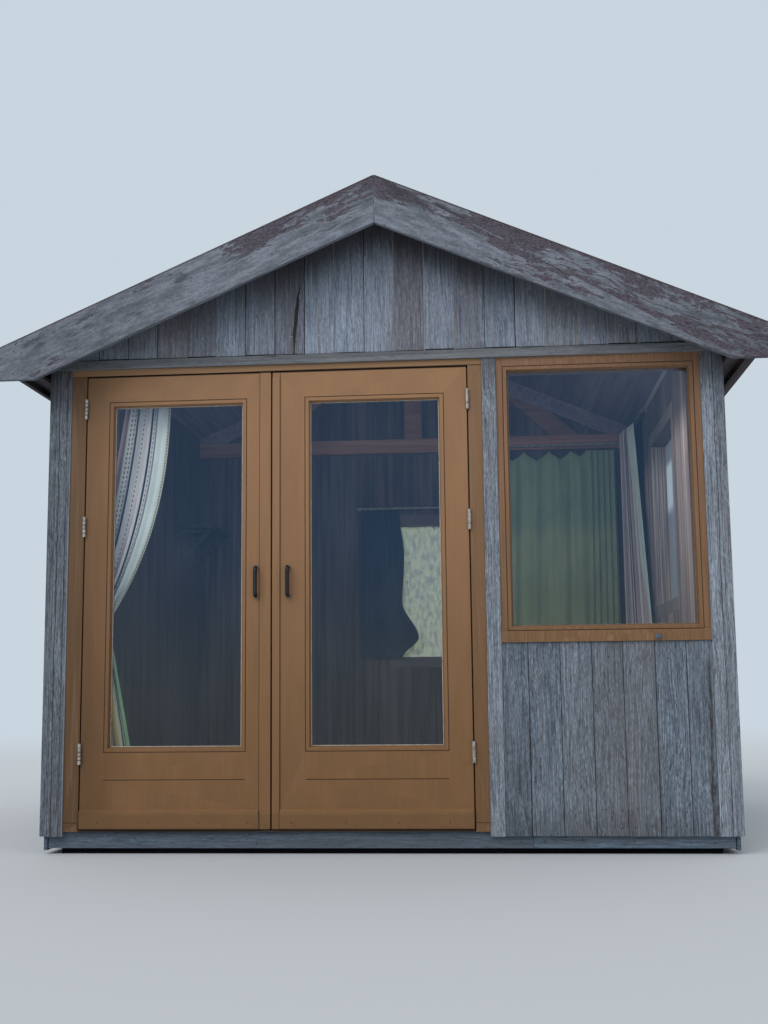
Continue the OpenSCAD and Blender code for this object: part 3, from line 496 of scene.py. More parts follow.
def side_reveal(p, colour, x, y, z):
    """The side window's frame is pale and bare inside the room, streaked along its grain, with painted shade
    towards the top.
    """
    streak = p.span(p.noise(p.where, (170, 120, 1.4), 3), 0.38, 0.62)
    # Painted shade: darker towards the top.
    bare = p.shade(p.mix(streak, srgb(104, 92, 90), srgb(160, 148, 138)), z, 2.02, 1.80, 0.6, 1.0)
    return p.mix(p.span(x, HALF_W - BARE_FROM[0], HALF_W - BARE_FROM[1]), colour, bare)


def rear_reveal(p, colour, x, y, z):
    """The rear window's frame is left bare inside the room."""
    inside = p.span(y, REAR_Y - BARE_FROM[0], REAR_Y - BARE_FROM[1])
    return p.mix(inside, colour, srgb(84, 72, 72))


def plain_wood(name, light, dark, grain=UPRIGHT, boards=(0.85, 1.1), rough=0.7, extra=None, gloss=0.3):
    """Planed inner timber: soft annual rings and fine pores."""
    p = Paint(name, rough=rough, gloss=gloss)
    at = p.grain(*grain)
    rings = p.noise(at, (34, 34, 1.2), 3, 0.5)
    pores = p.noise(at, (300, 300, 9), 4, 0.6)
    colour = p.mix(p.span(rings, 0.32, 0.68), srgb(*dark), srgb(*light))
    colour = p.shade(colour, pores, 0.3, 0.7, 0.88, 1.08)
    colour = p.shade(colour, p.island, 0.0, 1.0, *boards)
    if extra:
        colour = extra(p, colour)
    return p.finish(colour, pores, 0.2, 0.6 * MM)


def lit_wall_shade(p, colour):
    """The right wall's lining: painted shade behind the curtain and towards the roof, with pale streaks."""
    _, y, z = p.parts(p.where)
    # Painted shade from y = 0.62 towards the rear, behind the curtain.
    colour = p.shade(colour, y, 0.72, 0.62, 0.22, 1.0)
    colour = p.shade(colour, p.noise(p.where, (120, 150, 1.2), 3), 0.36, 0.64, 0.80, 1.14)
    # Painted shade towards the roof.
    return p.shade(colour, z, 2.02, 1.82, 0.30, 1.0)


def felt():
    """Mineral roofing felt: fine pale and dark grit, faded in clouds."""
    p = Paint("roofing_felt", rough=0.95, gloss=0.2)
    grit = p.noise(p.where, (700, 700, 700), 2)
    cloud = p.noise(p.where, (3, 3, 3), 4)
    colour = p.mix(p.span(grit, 0.35, 0.65), srgb(44, 46, 50), srgb(92, 94, 98))
    return p.finish(p.shade(colour, cloud, 0.3, 0.7, 0.8, 1.15), grit, 0.6, 0.8 * MM)


def metal(name, light, dark, rough, metallic, spots):
    """Metal with a dull skin: clouded tone, small spots and uneven gloss."""
    p = Paint(name, rough=rough, metal=metallic, gloss=0.5)
    cloud = p.noise(p.where, (60, 60, 60), 4)
    spot = p.noise(p.where, (500, 500, 500), 3)
    colour = p.mix(p.span(cloud, 0.3, 0.7), srgb(*dark), srgb(*light))
    colour = p.cover(colour, spot, 0.62, 0.75, 0.6, srgb(*spots))
    return p.finish(colour, spot, 0.15, 0.3 * MM, p.span(cloud, 0.3, 0.7, rough - 0.08, rough + 0.1))


def window_glass(name, haze=(0.0, 0.012), glare=None, cloud=(5, 5, 2.2), clear=(0.97, 0.985, 0.98, 1.0)):
    """A pane smeared with salt: the room shows through, its gloss carries a painted sky reflection, and
    painted glare may brighten a patch.
    """
    p = Paint(name)
    x, y, z = p.parts(p.where)
    smear = p.span(p.noise(p.where, cloud, 4, 0.6), 0.40, 0.80, *haze)
    facing = p.take("LayerWeight", "Facing", {"Blend": 0.5})
    edge = facing ** 5.0 * (1 - HEAD_ON_SHINE) + HEAD_ON_SHINE
    # Painted reflection: the gloss is tinted grey low down, sky blue higher up and paler at grazing angles.
    tint = p.mix(p.span(z, 0.50, 1.50), (0.44, 0.50, 0.56, 1.0), (0.25, 0.48, 0.84, 1.0))
    tint = p.mix(p.span(facing, 0.55, 1.0), tint, (0.75, 0.88, 1.0, 1.0))
    through = p.take("BsdfTransparent", 0, {"Color": clear})
    shine = p.take("BsdfGlossy", 0, {"Color": tint, "Roughness": 0.02})
    film = p.take("BsdfDiffuse", 0, {"Color": srgb(190, 198, 206)})
    pane = p.blend(edge, through, shine)
    if glare:
        (y0, y1), (z0, z1) = glare
        across = p.span(y, y0 - 0.06, y0 + 0.02) * p.span(y, y1 + 0.06, y1 - 0.02)
        patch = across * (p.span(z, z0 - 0.08, z0) * p.span(z, z1 + 0.05, z1))
        smear = smear * p.span(patch, 0.0, 1.0, 1.0, 0.45)
    pane = p.blend(smear, pane, film)
    # Painted glare: a pale translucent film on the inner face of the patch.
    if glare:
        lit = p.take("BsdfTranslucent", 0, {"Color": (0.97, 0.98, 1.0, 1.0)})
        pane = p.blend(patch * (x < SIDE_PANE_X), pane, lit)
    p.tree.nodes.remove(p.shader)
    return p.finish_as(pane)


def cloth(name, paint, width):
    """Woven cotton: paint gives its colour from the share of its width, and its length in metres."""
    p = Paint(name, rough=0.92, gloss=0.15)
    p.shader.inputs["Sheen Weight"].default_value = 0.25
    flat = p.take("UVMap", "UV")
    u, v, _ = p.parts(flat)
    weave = p.sine(v, THREAD) * p.sine(u, THREAD)
    colour = p.shade(paint(p, u / width, v), p.noise(flat, (9, 4, 1), 3), 0.3, 0.7, 0.9, 1.06)
    return p.finish(p.shade(colour, weave, -1.0, 1.0, 0.94, 1.04), weave, 0.25, 0.4 * MM)


def stripes(p, place, ground, bands):
    """bands lists (start, end, colour) as shares of the width, laid on the ground colour."""
    colour = srgb(*ground)
    for start, end, tint in bands:
        colour = p.mix(band(place, start, end), colour, srgb(*tint))
    return colour


def dotted(p, colour, share, v, places, wide, tint, period=0.022):
    """Broken dark lines along the cloth, like a stitched braid."""
    broken = p.sine(v, period) > -0.2
    for place in places:
        colour = p.mix(band(share, place, place + wide) * broken * 0.85, colour, srgb(*tint))
    return colour


def green_paint(p, share, v):
    """Faded green, lighter and yellower across the middle as painted sunlight, and olive below."""
    # Painted sunlight across the middle of the cloth.
    painted_sun = p.span(v, 0.40, 0.56) * p.span(v, 0.95, 0.65)
    colour = p.mix(p.span(v, 0.55, 1.0), srgb(122, 138, 108), srgb(134, 145, 102))
    return p.mix(painted_sun, colour, srgb(140, 151, 114))


def door_paint(p, share, v):
    """White cotton with pink, lavender and blue-grey stripes, dotted braids and a broad white border."""
    upper = stripes(p, share, (228, 224, 222), [
        (0.00, 0.13, (214, 188, 190)),
        (0.13, 0.17, (236, 232, 226)),
        (0.295, 0.340, (48, 55, 70)),
        (0.340, 0.42, (207, 205, 207)),
        (0.46, 0.60, (234, 225, 227)),
        (0.600, 0.637, (48, 54, 68)),
        (0.71, 0.745, (138, 146, 156)),
        (0.745, 0.95, (232, 239, 236)),
        (0.95, 1.00, (222, 221, 202)),
    ])
    upper = dotted(p, upper, share, v, (0.18, 0.235, 0.432, 0.665), 0.021, (38, 43, 55))
    upper = dotted(p, upper, share, v, (0.965,), 0.020, (128, 128, 112), 0.014)
    green, gold = (129, 167, 124), (218, 186, 103)
    lower = stripes(p, share, (224, 220, 199), [
        (0.00, 0.20, green),
        (0.26, 0.40, gold),
        (0.46, 0.62, (193, 132, 74)),
        (0.65, 0.80, gold),
        (0.85, 0.88, (54, 58, 64)),
        (0.90, 1.00, green),
    ])
    return p.mix(p.span(v, 1.13, 1.22), upper, lower)


def dark_paint(p, share, v):
    """Dark blue-grey cotton, a little paler towards its right edge."""
    return p.mix(p.span(share, 0.0, 1.0), srgb(24, 31, 42), srgb(32, 40, 53))


def side_paint(p, share, v):
    """Faded stripes from the rear: dark and pale on pink-brown, dotted lines and a slanting border."""
    dark = (82, 75, 85)
    pale = (204, 198, 196)
    spots = ((0.00, 0.05, pale), (0.10, 0.13, dark), (0.19, 0.21, pale), (0.24, 0.27, dark))
    spots += ((0.29, 0.33, pale), (0.33, 0.36, dark), (0.36, 0.40, pale), (0.46, 0.49, dark))
    spots += ((0.52, 0.55, pale), (0.58, 0.61, dark), (0.66, 0.69, pale), (0.73, 0.76, dark))
    colour = stripes(p, share, (174, 152, 156), spots)
    colour = dotted(p, colour, share, v, (0.07, 0.15, 0.42, 0.64), 0.016, (62, 56, 66), 0.020)
    return p.mix(share > v * 0.26 + 0.58, colour, srgb(186, 198, 188))


WARM = (112, 102, 98)
GREY = ((150, 162, 178), (96, 105, 118), WARM)
GABLE_GREY = ((142, 153, 168), (92, 101, 114), WARM)
PANEL_GREY = ((124, 136, 149), (64, 72, 82), WARM)
POST_GREY = ((150, 160, 172), (84, 90, 99), WARM)
RAIL_GREY = ((125, 129, 134), (97, 101, 106), (110, 108, 101))
BASE_GREY = ((101, 116, 131), (64, 75, 87), (82, 84, 88))
# Foot and head tones of the stains: the darker foot and lighter head are painted light from above.
TAN_FOOT = (121, 89, 59)
TAN_HEAD = (151, 115, 84)
FRAME_FOOT = (128, 97, 70)
FRAME_HEAD = (132, 100, 76)
# Darker towards the left edge as painted shade, and a little darker right of x = 0.38.
LEAF_SIDE_SHADE = ((-1.36, -1.06, 0.60, 1.0), (0.36, 0.40, 1.0, 0.90))

GREY_GABLE = weathered("gable_boards_wood", UPRIGHT, GABLE_GREY, 0.3, (0.86, 1.12), gable_marks_and_shade)
GREY_UPRIGHT = weathered("grey_boards", UPRIGHT, GREY, 0.35)
GREY_PANEL = weathered("grey_panel", UPRIGHT, PANEL_GREY, 0.25, (0.84, 1.12), stained_foot, 0.4)
GREY_POST = weathered("grey_posts", UPRIGHT, POST_GREY, 0.3, extra=post_marks_and_shade, dashes=0.35)
GREY_RAIL = weathered("grey_rails", ACROSS, RAIL_GREY, 0.35, dashes=0.12)
GREY_BASE = weathered("grey_base", ACROSS, BASE_GREY, 0.3, dashes=0.2)
BARGE_LEFT = old_board("bargeboard_left", RISE_RIGHT, 0.0)
BARGE_RIGHT = old_board("bargeboard_right", RISE_LEFT, 0.086)
TAN_UPRIGHT = stain("tan_upright", TAN_FOOT, TAN_HEAD, sides=LEAF_SIDE_SHADE, worn=0.03, extra=strip_edges_and_shade)
TAN_JAMB = stain("tan_jambs", (116, 86, 58), (136, 105, 78), sides=LEAF_SIDE_SHADE, worn=0.09)
TAN_ACROSS = stain("tan_across", TAN_FOOT, (142, 110, 81), ACROSS, extra=head_shadow)
TAN_WINDOW = stain("tan_window", (114, 86, 57), FRAME_HEAD, worn=0.16)
SIDE_FRAME = stain("tan_side_window", FRAME_FOOT, FRAME_HEAD, worn=0.16, extra=side_reveal)
REAR_FRAME = stain("tan_rear_window", FRAME_FOOT, FRAME_HEAD, worn=0.16, extra=rear_reveal)
# Lining in two copies: a dark one for the rear and left walls as painted shade, and a pale one for the right
# wall as painted light from the windows.
LINING = plain_wood("lining", (78, 66, 62), (50, 42, 40))
LIT_LINING = plain_wood("lit_lining", (184, 164, 154), (128, 109, 106), boards=(0.60, 1.2),
                          extra=lit_wall_shade)
TRUSS = plain_wood("truss_timber", (142, 104, 82), (108, 77, 60), ACROSS)
BRACE = plain_wood("brace_timber", (124, 88, 70), (96, 68, 54), ACROSS)
CEILING = plain_wood("ceiling_boards", (108, 95, 103), (87, 77, 84), INWARD, (0.92, 1.08))
FLOORING = plain_wood("floor_boards", (140, 116, 92), (100, 82, 66), INWARD)
DARK_WOOD = plain_wood("dark_wood", (64, 52, 44), (38, 31, 27), ACROSS)
CORE = plain_wood("inner_frame", (70, 62, 56), (46, 40, 36))
TONGUE = plain_wood("bare_tongue", (176, 172, 166), (128, 124, 120))
EAVES = plain_wood("eaves_paint", (58, 48, 47), (38, 33, 34), INWARD)
# Near-black for the recessed bearers under the base rail: painted shade.
STRIP = plain_wood("bearer_painted_shade", (16, 18, 22), (9, 10, 13), ACROSS, rough=0.9, gloss=0.05)
PALE_LATH = plain_wood("pale_lath", (158, 154, 160), (130, 126, 132), INWARD)
# Near-black strips for the grooves: painted shade.
GROOVE_SHADE = plain_wood("groove_shade_strips", (52, 34, 22), (32, 22, 16))
FELT = felt()
GLASS = window_glass("window_glass")
SALTED_GLASS = window_glass("salted_glass", (0.40, 0.90), None, (46, 46, 20), (1.0, 0.98, 0.74, 1.0))
HAZED_GLASS = window_glass("hazed_glass", (0.70, 0.84), SIDE_GLARE)
STEEL = metal("dull_steel", (190, 188, 182), (138, 134, 126), 0.42, 0.75, (110, 84, 62))
BLACK = metal("black_iron", (34, 34, 37), (16, 16, 18), 0.42, 0.3, (70, 66, 62))
NAIL = metal("dark_nail", (60, 58, 58), (30, 28, 28), 0.6, 0.5, (84, 60, 46))
PALE_NAIL = metal("pale_nail", (196, 200, 204), (160, 164, 168), 0.45, 0.6, (120, 118, 116))
SEALANT = metal("sealant", (196, 192, 184), (160, 154, 144), 0.6, 0.0, (120, 112, 100))
OLD_SEALANT = metal("old_sealant", (120, 110, 100), (84, 74, 66), 0.6, 0.0, (70, 60, 52))
HOOK_STEEL = metal("hook_steel", (108, 120, 132), (48, 56, 66), 0.5, 0.5, (30, 32, 38))


# Building meshes

class Shape:
    """Points and faces gathered for one piece."""

    def __init__(self):
        self.points = []
        self.faces = []

    def prism(self, outline, low, high, place):
        """A flat outline of (u, v) points, carried from depth low to depth high."""
        n = len(outline)
        first = len(self.points)
        for depth in (low, high):
            self.points += [place(u, v, depth) for u, v in outline]
        self.faces.append([first + i for i in range(n)])
        self.faces.append([first + n + i for i in reversed(range(n))])
        for i in range(n):
            j = (i + 1) % n
            self.faces.append([first + i, first + n + i, first + n + j, first + j])

    def block(self, low, high):
        """A square block between two corners."""
        self.prism(rectangle(low[0], high[0], low[2], high[2]), low[1], high[1], along_depth)

    def piece(self, name, material, body="root", bevel=0.0, *, slot):
        """Makes the piece, closed and with its faces turned outwards, riding on its body."""
        mesh = bpy.data.meshes.new(name)
        mesh.from_pydata(self.points, [], self.faces)
        mesh.validate()
        turn_outwards(mesh)
        mesh.materials.append(material)
        made = show(name, mesh)
        if bevel:
            soften(made, bevel)
        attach(made, body)
        return made


def turn_outwards(mesh):
    loose = bmesh.new()
    loose.from_mesh(mesh)
    bmesh.ops.recalc_face_normals(loose, faces=loose.faces)
    loose.to_mesh(mesh)
    loose.free()


def soften(piece, width):
    """Rounds a piece's sharp edges a little."""
    bevel = piece.modifiers.new("soft_edges", "BEVEL")
    bevel.width = width
    bevel.segments = 2
    bevel.limit_method = "ANGLE"
    bevel.angle_limit = math.radians(35)
    bevel.use_clamp_overlap = True


def rectangle(u0, u1, v0, v1):
    return [(u0, v0), (u1, v0), (u1, v1), (u0, v1)]


def circle(u, v, radius, sides):
    """The corners of a round outline."""
    turns = (2 * math.pi * k / sides for k in range(sides))
    return [(u + radius * math.cos(a), v + radius * math.sin(a)) for a in turns]


def on_front(y_face):
    return lambda u, v, d: (u, y_face + d, v)


def on_rear(u, v, d):
    return (u, REAR_Y - d, v)


def on_right(u, v, d):
    return (HALF_W - d, u, v)


def on_left(u, v, d):
    return (-HALF_W + d, u, v)


def along_depth(u, v, d):
    return (u, d, v)


SLIVER = 3 * MM


def board_outline(a, b, bottom, top, hole=None):
    """The outlines of one upright board from a to b, cut to the roof's line and round a window's opening."""
    up = [(b, top(b))] + ([(0.0, top(0.0))] if a < 0 < b else []) + [(a, top(a))]
    foot = [(a, bottom), (b, bottom)]
    if not hole or b <= hole[0] + SLIVER or a >= hole[1] - SLIVER:
        return [foot + up]
    h0, h1, z0, z1 = hole
    if a >= h0 - SLIVER and b <= h1 + SLIVER:
        return [foot + [(b, z0), (a, z0)], [(a, z1), (b, z1)] + up]
    if a < h0:
        return [foot + [(b, z0), (h0, z0), (h0, z1), (b, z1)] + up]
    return [foot + up + [(a, z1), (h1, z1), (h1, z0), (a, z0)]]


def seams_between(low, high, pitch, phase=0.0):
    """Where boards of one pitch meet, from one end of a wall to the other."""
    first = math.ceil((low - phase) / pitch)
    inner = [phase + pitch * k for k in range(first, first + int((high - low) / pitch) + 2)]
    return [low] + [x for x in inner if low + 0.02 < x < high - 0.02] + [high]


def boarding(name, seams, place, bottom, top, depth, material, node=None, hole=None, slot="grey_wood",
             gap=(2.0, 3.6), ragged=3.0, tongues=0.0, uneven=0.7):
    """A wall of upright boards with open joints, uneven ends and, behind some joints, a paler tongue."""
    boards = Shape()
    pale = Shape()
    low, high = depth
    halves = [RNG.uniform(*gap) * MM / 2 for _ in seams]
    for i in range(len(seams) - 1):
        a = seams[i] + (halves[i] if i else 0)
        b = seams[i + 1] - (halves[i + 1] if i < len(seams) - 2 else 0)
        foot = bottom + RNG.uniform(0, ragged) * MM
        out = RNG.uniform(0, uneven) * MM
        for outline in board_outline(a, b, foot, top, hole):
            boards.prism(outline, low + out, high, place)
        if i and RNG.random() < tongues:
            x = seams[i]
            strip = rectangle(x - 2.5 * MM, x + 2.5 * MM, bottom, top(x) - 4 * MM)
            pale.prism(strip, low + 3 * MM, low + 7 * MM, place)
    made = boards.piece(name, material, bevel=1.6 * MM, slot=slot)
    if node:
        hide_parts(node)
    if pale.points:
        pale.piece(name + "_tongues", TONGUE, slot=slot)


def lining(name, span, place, top, depth, phase=0.0, material=None, hole=None, gap=(0.8, 1.4)):
    """Planed boards on the room's side of a wall, LINING_T thick at the given depth."""
    boarding(name + "_lining", seams_between(*span, LINING_PITCH, phase), place, RAIL_TOP, top,
             (depth - LINING_T, depth), material or LINING, hole=hole, slot="bare_wood", gap=gap,
             ragged=0.5, uneven=0.2)


def backing(name, outline, low, high, place):
    shape = Shape()
    shape.prism(outline, low, high, place)
    shape.piece(name, CORE, slot="dark_wood")


def hole_in(node):
    """The opening that a side or rear window's frame fills, along the wall and upwards."""
    low, high = edges(node)
    along = 1 if node.startswith("side") else 0
    return (low[along], high[along], low[2], high[2])


# Boarded walls

def make_front():
    """The gable over the head rail, and the panel below the window with its frame."""
    place = on_front(FACE_Y)
    seams = seams_between(-FRAME_X, FRAME_X, GABLE_PITCH, GABLE_PHASE)
    boarding("gable_boards", seams, place, GABLE_BOTTOM, under_roof, (0, BOARD_T), GREY_GABLE,
             "front_gable", ragged=5.0, tongues=0.4)
    behind = [(-FRAME_X, GABLE_BOTTOM), (FRAME_X, GABLE_BOTTOM), (FRAME_X, under_roof(FRAME_X))]
    behind += [(0.0, WALL_APEX), (-FRAME_X, under_roof(FRAME_X))]
    backing("gable_backing", behind, BOARD_T, GABLE_HIGH[1] - GABLE_LOW[1], place)
    left, right, sill = PANEL_LOW[0], PANEL_HIGH[0], PANEL_HIGH[2]
    inner = BACK_Y - PANEL_LOW[1]
    place = on_front(PANEL_LOW[1])
    boarding("panel_boards", PANEL_SEAMS, place, LAP_Z, lambda x: sill, (0, BOARD_T), GREY_PANEL,
             "front_wall", ragged=2.0)
    backing("panel_backing", rectangle(left, right, LAP_Z, sill), BOARD_T, PANEL_BACK, place)
    backing("panel_frame", rectangle(left, right, RAIL_TOP, sill), PANEL_BACK, inner - LINING_T, place)
    lining("panel", (left, right), place, lambda x: sill, inner, gap=(0.6, 1.0))


def make_side(name, side):
    """A side wall: outer boards, the frame behind them, the skirt at the foot and the lining inside."""
    place = on_right if side > 0 else on_left
    hole = hole_in("side_window_frame") if side > 0 else None
    outer_y = REAR_Y - SIDE_BOARDING
    top = under_roof(HALF_W)
    boarding(name + "_boards", seams_between(FACE_Y, outer_y, SIDE_PITCH), place, LAP_Z, lambda y: top,
             (0, SIDE_BOARDING), GREY_POST, name, hole)
    whole = ((RAIL_TOP, None),)
    spans = [(FACE_Y, outer_y, whole)]
    if hole:
        around = ((RAIL_TOP, hole[2]), (hole[3], None))
        spans = [(FACE_Y, hole[0], whole), (hole[0], hole[1], around), (hole[1], outer_y, whole)]
    core = Shape()
    x_in, x_out = side * (INNER_X + LINING_T), side * FRAME_X
    for y0, y1, heights in spans:
        for foot, head in heights:
            ends = (head or under_roof(x_out), head or under_roof(x_in))
            section = [(x_in, foot), (x_out, foot), (x_out, ends[0]), (x_in, ends[1])]
            core.prism(section, max(y0, BACK_Y), y1, along_depth)
    core.piece(name + "_frame", CORE, slot="dark_wood")
    skirt = Shape()
    x0, x1 = sorted(side * (FRAME_X + out) for out in SKIRT_OUT)
    skirt.block((x0, FACE_Y + SKIRT_BACK, SKIRT_LOW), (x1, outer_y, LAP_Z))
    skirt.piece(name + "_skirt", GREY_BASE, bevel=1.5 * MM, slot="grey_wood")
    inner_top = under_roof(INNER_X + LINING_T)
    lining(name, (BACK_Y, ROOM_Y), place, lambda y: inner_top, HALF_W - INNER_X, phase=30 * MM,
           material=LIT_LINING if side > 0 else LINING, hole=hole)


def make_rear():
    """The rear wall, like the sides, boarded up to the roof."""
    hole = hole_in("rear_window_frame")
    x0, x1, z0, z1 = hole
    depth = REAR_Y - ROOM_Y
    seams = seams_between(-HALF_W, HALF_W, SIDE_PITCH)
    boarding("rear_boards", seams, on_rear, LAP_Z, under_roof, (0, REAR_BOARDING), GREY_UPRIGHT,
             "rear_wall", hole)
    for label, half, foot, d0, d1 in (
        ("rear_battens", HALF_W, LAP_Z, REAR_BOARDING, SIDE_BOARDING),
        ("rear_frame", INNER_X, RAIL_TOP, SIDE_BOARDING, depth - LINING_T),
    ):
        shape = Shape()
        shape.prism(board_outline(-half, x0, foot, under_roof)[0], d0, d1, on_rear)
        shape.prism(rectangle(x0, x1, foot, z0), d0, d1, on_rear)
        shape.prism(board_outline(x0, x1, z1, under_roof)[0], d0, d1, on_rear)
        shape.prism(board_outline(x1, half, foot, under_roof)[0], d0, d1, on_rear)
        shape.piece(label, CORE, slot="dark_wood")
    lining("rear", (-INNER_X, INNER_X), on_rear, under_roof, depth, hole=hole)


def make_floor():
    """Floor boards on a dark bed of joists."""
    boards = Shape()
    bed = Shape()
    bed_top = RAIL_TOP - FLOOR_T
    seams = seams_between(FLOOR_LOW[0], FLOOR_HIGH[0], FLOOR_PITCH, FLOOR_PHASE)
    for a, b in zip(seams, seams[1:]):
        boards.block((a + 0.5 * MM, FLOOR_LOW[1], bed_top), (b - 0.5 * MM, FLOOR_HIGH[1], RAIL_TOP))
    bed.block(FLOOR_LOW, (FLOOR_HIGH[0], FLOOR_HIGH[1], bed_top))
    made = boards.piece("floor_boards", FLOORING, bevel=1.0 * MM, slot="bare_wood")
    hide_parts("floor")
    bed.piece("floor_bed", CORE, slot="dark_wood")


def make_roof():
    """Roof boards that run from front to back, on both sides of the ridge."""
    thick = ROOF_T / math.cos(PITCH)
    seams = seams_between(0.0, ROOF_HIGH[0], ROOF_PITCH)
    for side, name in ((-1, "left_roof_boards"), (1, "right_roof_boards")):
        boards = Shape()
        for a, b in zip(seams, seams[1:]):
            tops = [(x, under_roof(x, ROOF_HIGH[2])) for x in (a + 0.6 * MM, b - 0.6 * MM)]
            outline = [(side * x, z - thick) for x, z in tops] + [(side * x, z) for x, z in reversed(tops)]
            boards.prism(outline, ROOF_LOW[1], ROOF_HIGH[1], along_depth)
        made = boards.piece("boards_" + name, CEILING, bevel=1.5 * MM, slot="bare_wood")
        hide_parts(name)


COURSES = 3
COURSE_LAP = 70 * MM
PLY = 2.2 * MM
LIFT_RUN = 2 * MM


def make_felt():
    """Three courses of felt on each side: each but the lowest ends in a lap, lifted on the one below it."""
    felts = Shape()
    width = FELT_HIGH[0] / COURSES
    ground = ROOF_HIGH[2] + 0.6 * MM
    for side in (-1, 1):
        for k in range(COURSES):
            start, end = k * width, min((k + 1) * width + COURSE_LAP, FELT_HIGH[0])
            over = end - COURSE_LAP
            start_z, over_z, end_z = (under_roof(x, ground) for x in (start, over, end))
            under = [(start, start_z), (end, end_z)]
            if k < COURSES - 1:
                under[1:] = [(over, over_z), (over + LIFT_RUN, over_z + PLY), (end, end_z + PLY)]
            low = [(side * x, z) for x, z in under]
            high = [(x, z + PLY) for x, z in reversed(low)]
            felts.prism(low + high, FELT_LOW[1], FELT_HIGH[1], along_depth)
    made = felts.piece("felt_courses", FELT, slot="roofing_felt")
    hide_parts("roof_felt")


make_front()
make_side("left_wall", -1)
make_side("right_wall", 1)
make_rear()
make_floor()
make_roof()
make_felt()


# Finishes on the frame's own nodes

def dress(names, material, bevel=0.0):
    """Gives CAD nodes their material, and rounds their edges with modifiers."""
    for name in names:
        node = NODES[name]
        node.data.materials.clear()
        node.data.materials.append(material)
        if bevel:
            weld = node.modifiers.new("weld", "WELD")
            weld.merge_threshold = 0.01 * MM
            soften(node, bevel)


dress(["left_front_post", "mullion_post", "right_front_post"], GREY_POST, 2.0 * MM)
dress(["head_rail"], GREY_RAIL, 2.0 * MM)
dress(["base_rails"], GREY_BASE, 2.0 * MM)
dress(["front_left_bargeboard", "rear_left_bargeboard"], BARGE_LEFT, 2.5 * MM)
dress(["front_right_bargeboard", "rear_right_bargeboard"], BARGE_RIGHT, 2.5 * MM)
dress(["left_eaves", "right_eaves"], EAVES, 1.5 * MM)
dress(["left_door", "right_door"], TAN_UPRIGHT, 1.2 * MM)
dress(["left_jamb", "right_jamb"], TAN_JAMB, 1.2 * MM)
dress(["door_head"], TAN_ACROSS, 1.2 * MM)
dress(["front_window_frame"], TAN_WINDOW, 1.2 * MM)
dress(["side_window_frame"], SIDE_FRAME, 1.2 * MM)
dress(["rear_window_frame"], REAR_FRAME, 1.2 * MM)
dress(["front_header", "tie_beam"], TRUSS, 2.0 * MM)
dress(["king_post", "truss_braces"], BRACE, 2.0 * MM)
dress(["ridge_beam", "truss_rafters"], CEILING, 2.0 * MM)
dress(["threshold", "wall_shelf"], DARK_WOOD, 1.0 * MM)
# The bearers are near-black as painted shade in the recess under the base rail.
dress(["ground_bearers"], STRIP, 1.5 * MM)
dress(["jamb_hinges", "left_hinges", "right_hinges", "curtain_rods"], STEEL)
dress(["left_handle", "right_handle"], BLACK)
dress(["left_door_glass", "right_door_glass", "front_window_glass"], GLASS)
dress(["side_window_glass"], HAZED_GLASS)
dress(["rear_window_glass"], SALTED_GLASS)


# Curtains

def hang(node, dye, paint, columns, rows, point, spare=1.0):
    """A cloth for a curtain's slab: point(s, t) places a share s of its width and t of its length."""
    low, high = edges(node)
    flat = (arc_length(point) * spare, high[2] - low[2])
    name = node + "_cloth"
    points = [point(i / columns, j / rows) for j in range(rows + 1) for i in range(columns + 1)]
    step = columns + 1
    corners = [j * step + i for j in range(rows) for i in range(columns)]
    mesh = bpy.data.meshes.new(name)
    mesh.from_pydata(points, [], [[k, k + 1, k + 1 + step, k + step] for k in corners])
    layer = mesh.uv_layers.new(name="UVMap")
    for loop in mesh.loops:
        j, i = divmod(loop.vertex_index, step)
        layer.data[loop.index].uv = (flat[0] * i / columns, flat[1] * j / rows)
    mesh.shade_smooth()
    mesh.materials.append(cloth(dye, paint, flat[0]))
    made = show(name, mesh)
    skin = made.modifiers.new("cloth_thickness", "SOLIDIFY")
    skin.thickness = 0.8 * MM
    skin.offset = 0
    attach(made, "root")
    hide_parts(node)


def arc_length(point, steps=800, t=0.3):
    """The length of the cloth's line across its width, at one height."""
    line = [Vector(point(i / steps, t)) for i in range(steps + 1)]
    return sum((b - a).length for a, b in zip(line, line[1:]))


def wave(turns, s, seed):
    """Folds of uneven width and depth, from -1 to 1."""
    full = 2 * math.pi
    bend = s + 0.012 * math.sin(full * (3 * s + seed)) + 0.006 * math.sin(full * (7 * s + 2 * seed))
    deep = 0.78 + 0.22 * math.sin(full * (2.3 * s + 1.7 * seed))
    return deep * math.sin(full * turns * bend)


def blend_in(value, low, high):
    """0 below low, 1 above high, eased between."""
    f = min(max((value - low) / (high - low), 0.0), 1.0)
    return f * f * (3 - 2 * f)


def dips(folds, s):
    """How far the cloth's top edge sags between its folds' hooks, from 0 to 1."""
    return 1 - abs(math.sin(math.pi * folds * s)) ** 0.6


def between_hooks(x, hooks):
    """How far along x lies from one hook to the next, from 0 to 1, and the width between the two."""
    for a, b in zip(hooks, hooks[1:]):
        if x <= b:
            return (x - a) / (b - a), b - a
    return 1.0, hooks[-1] - hooks[-2]


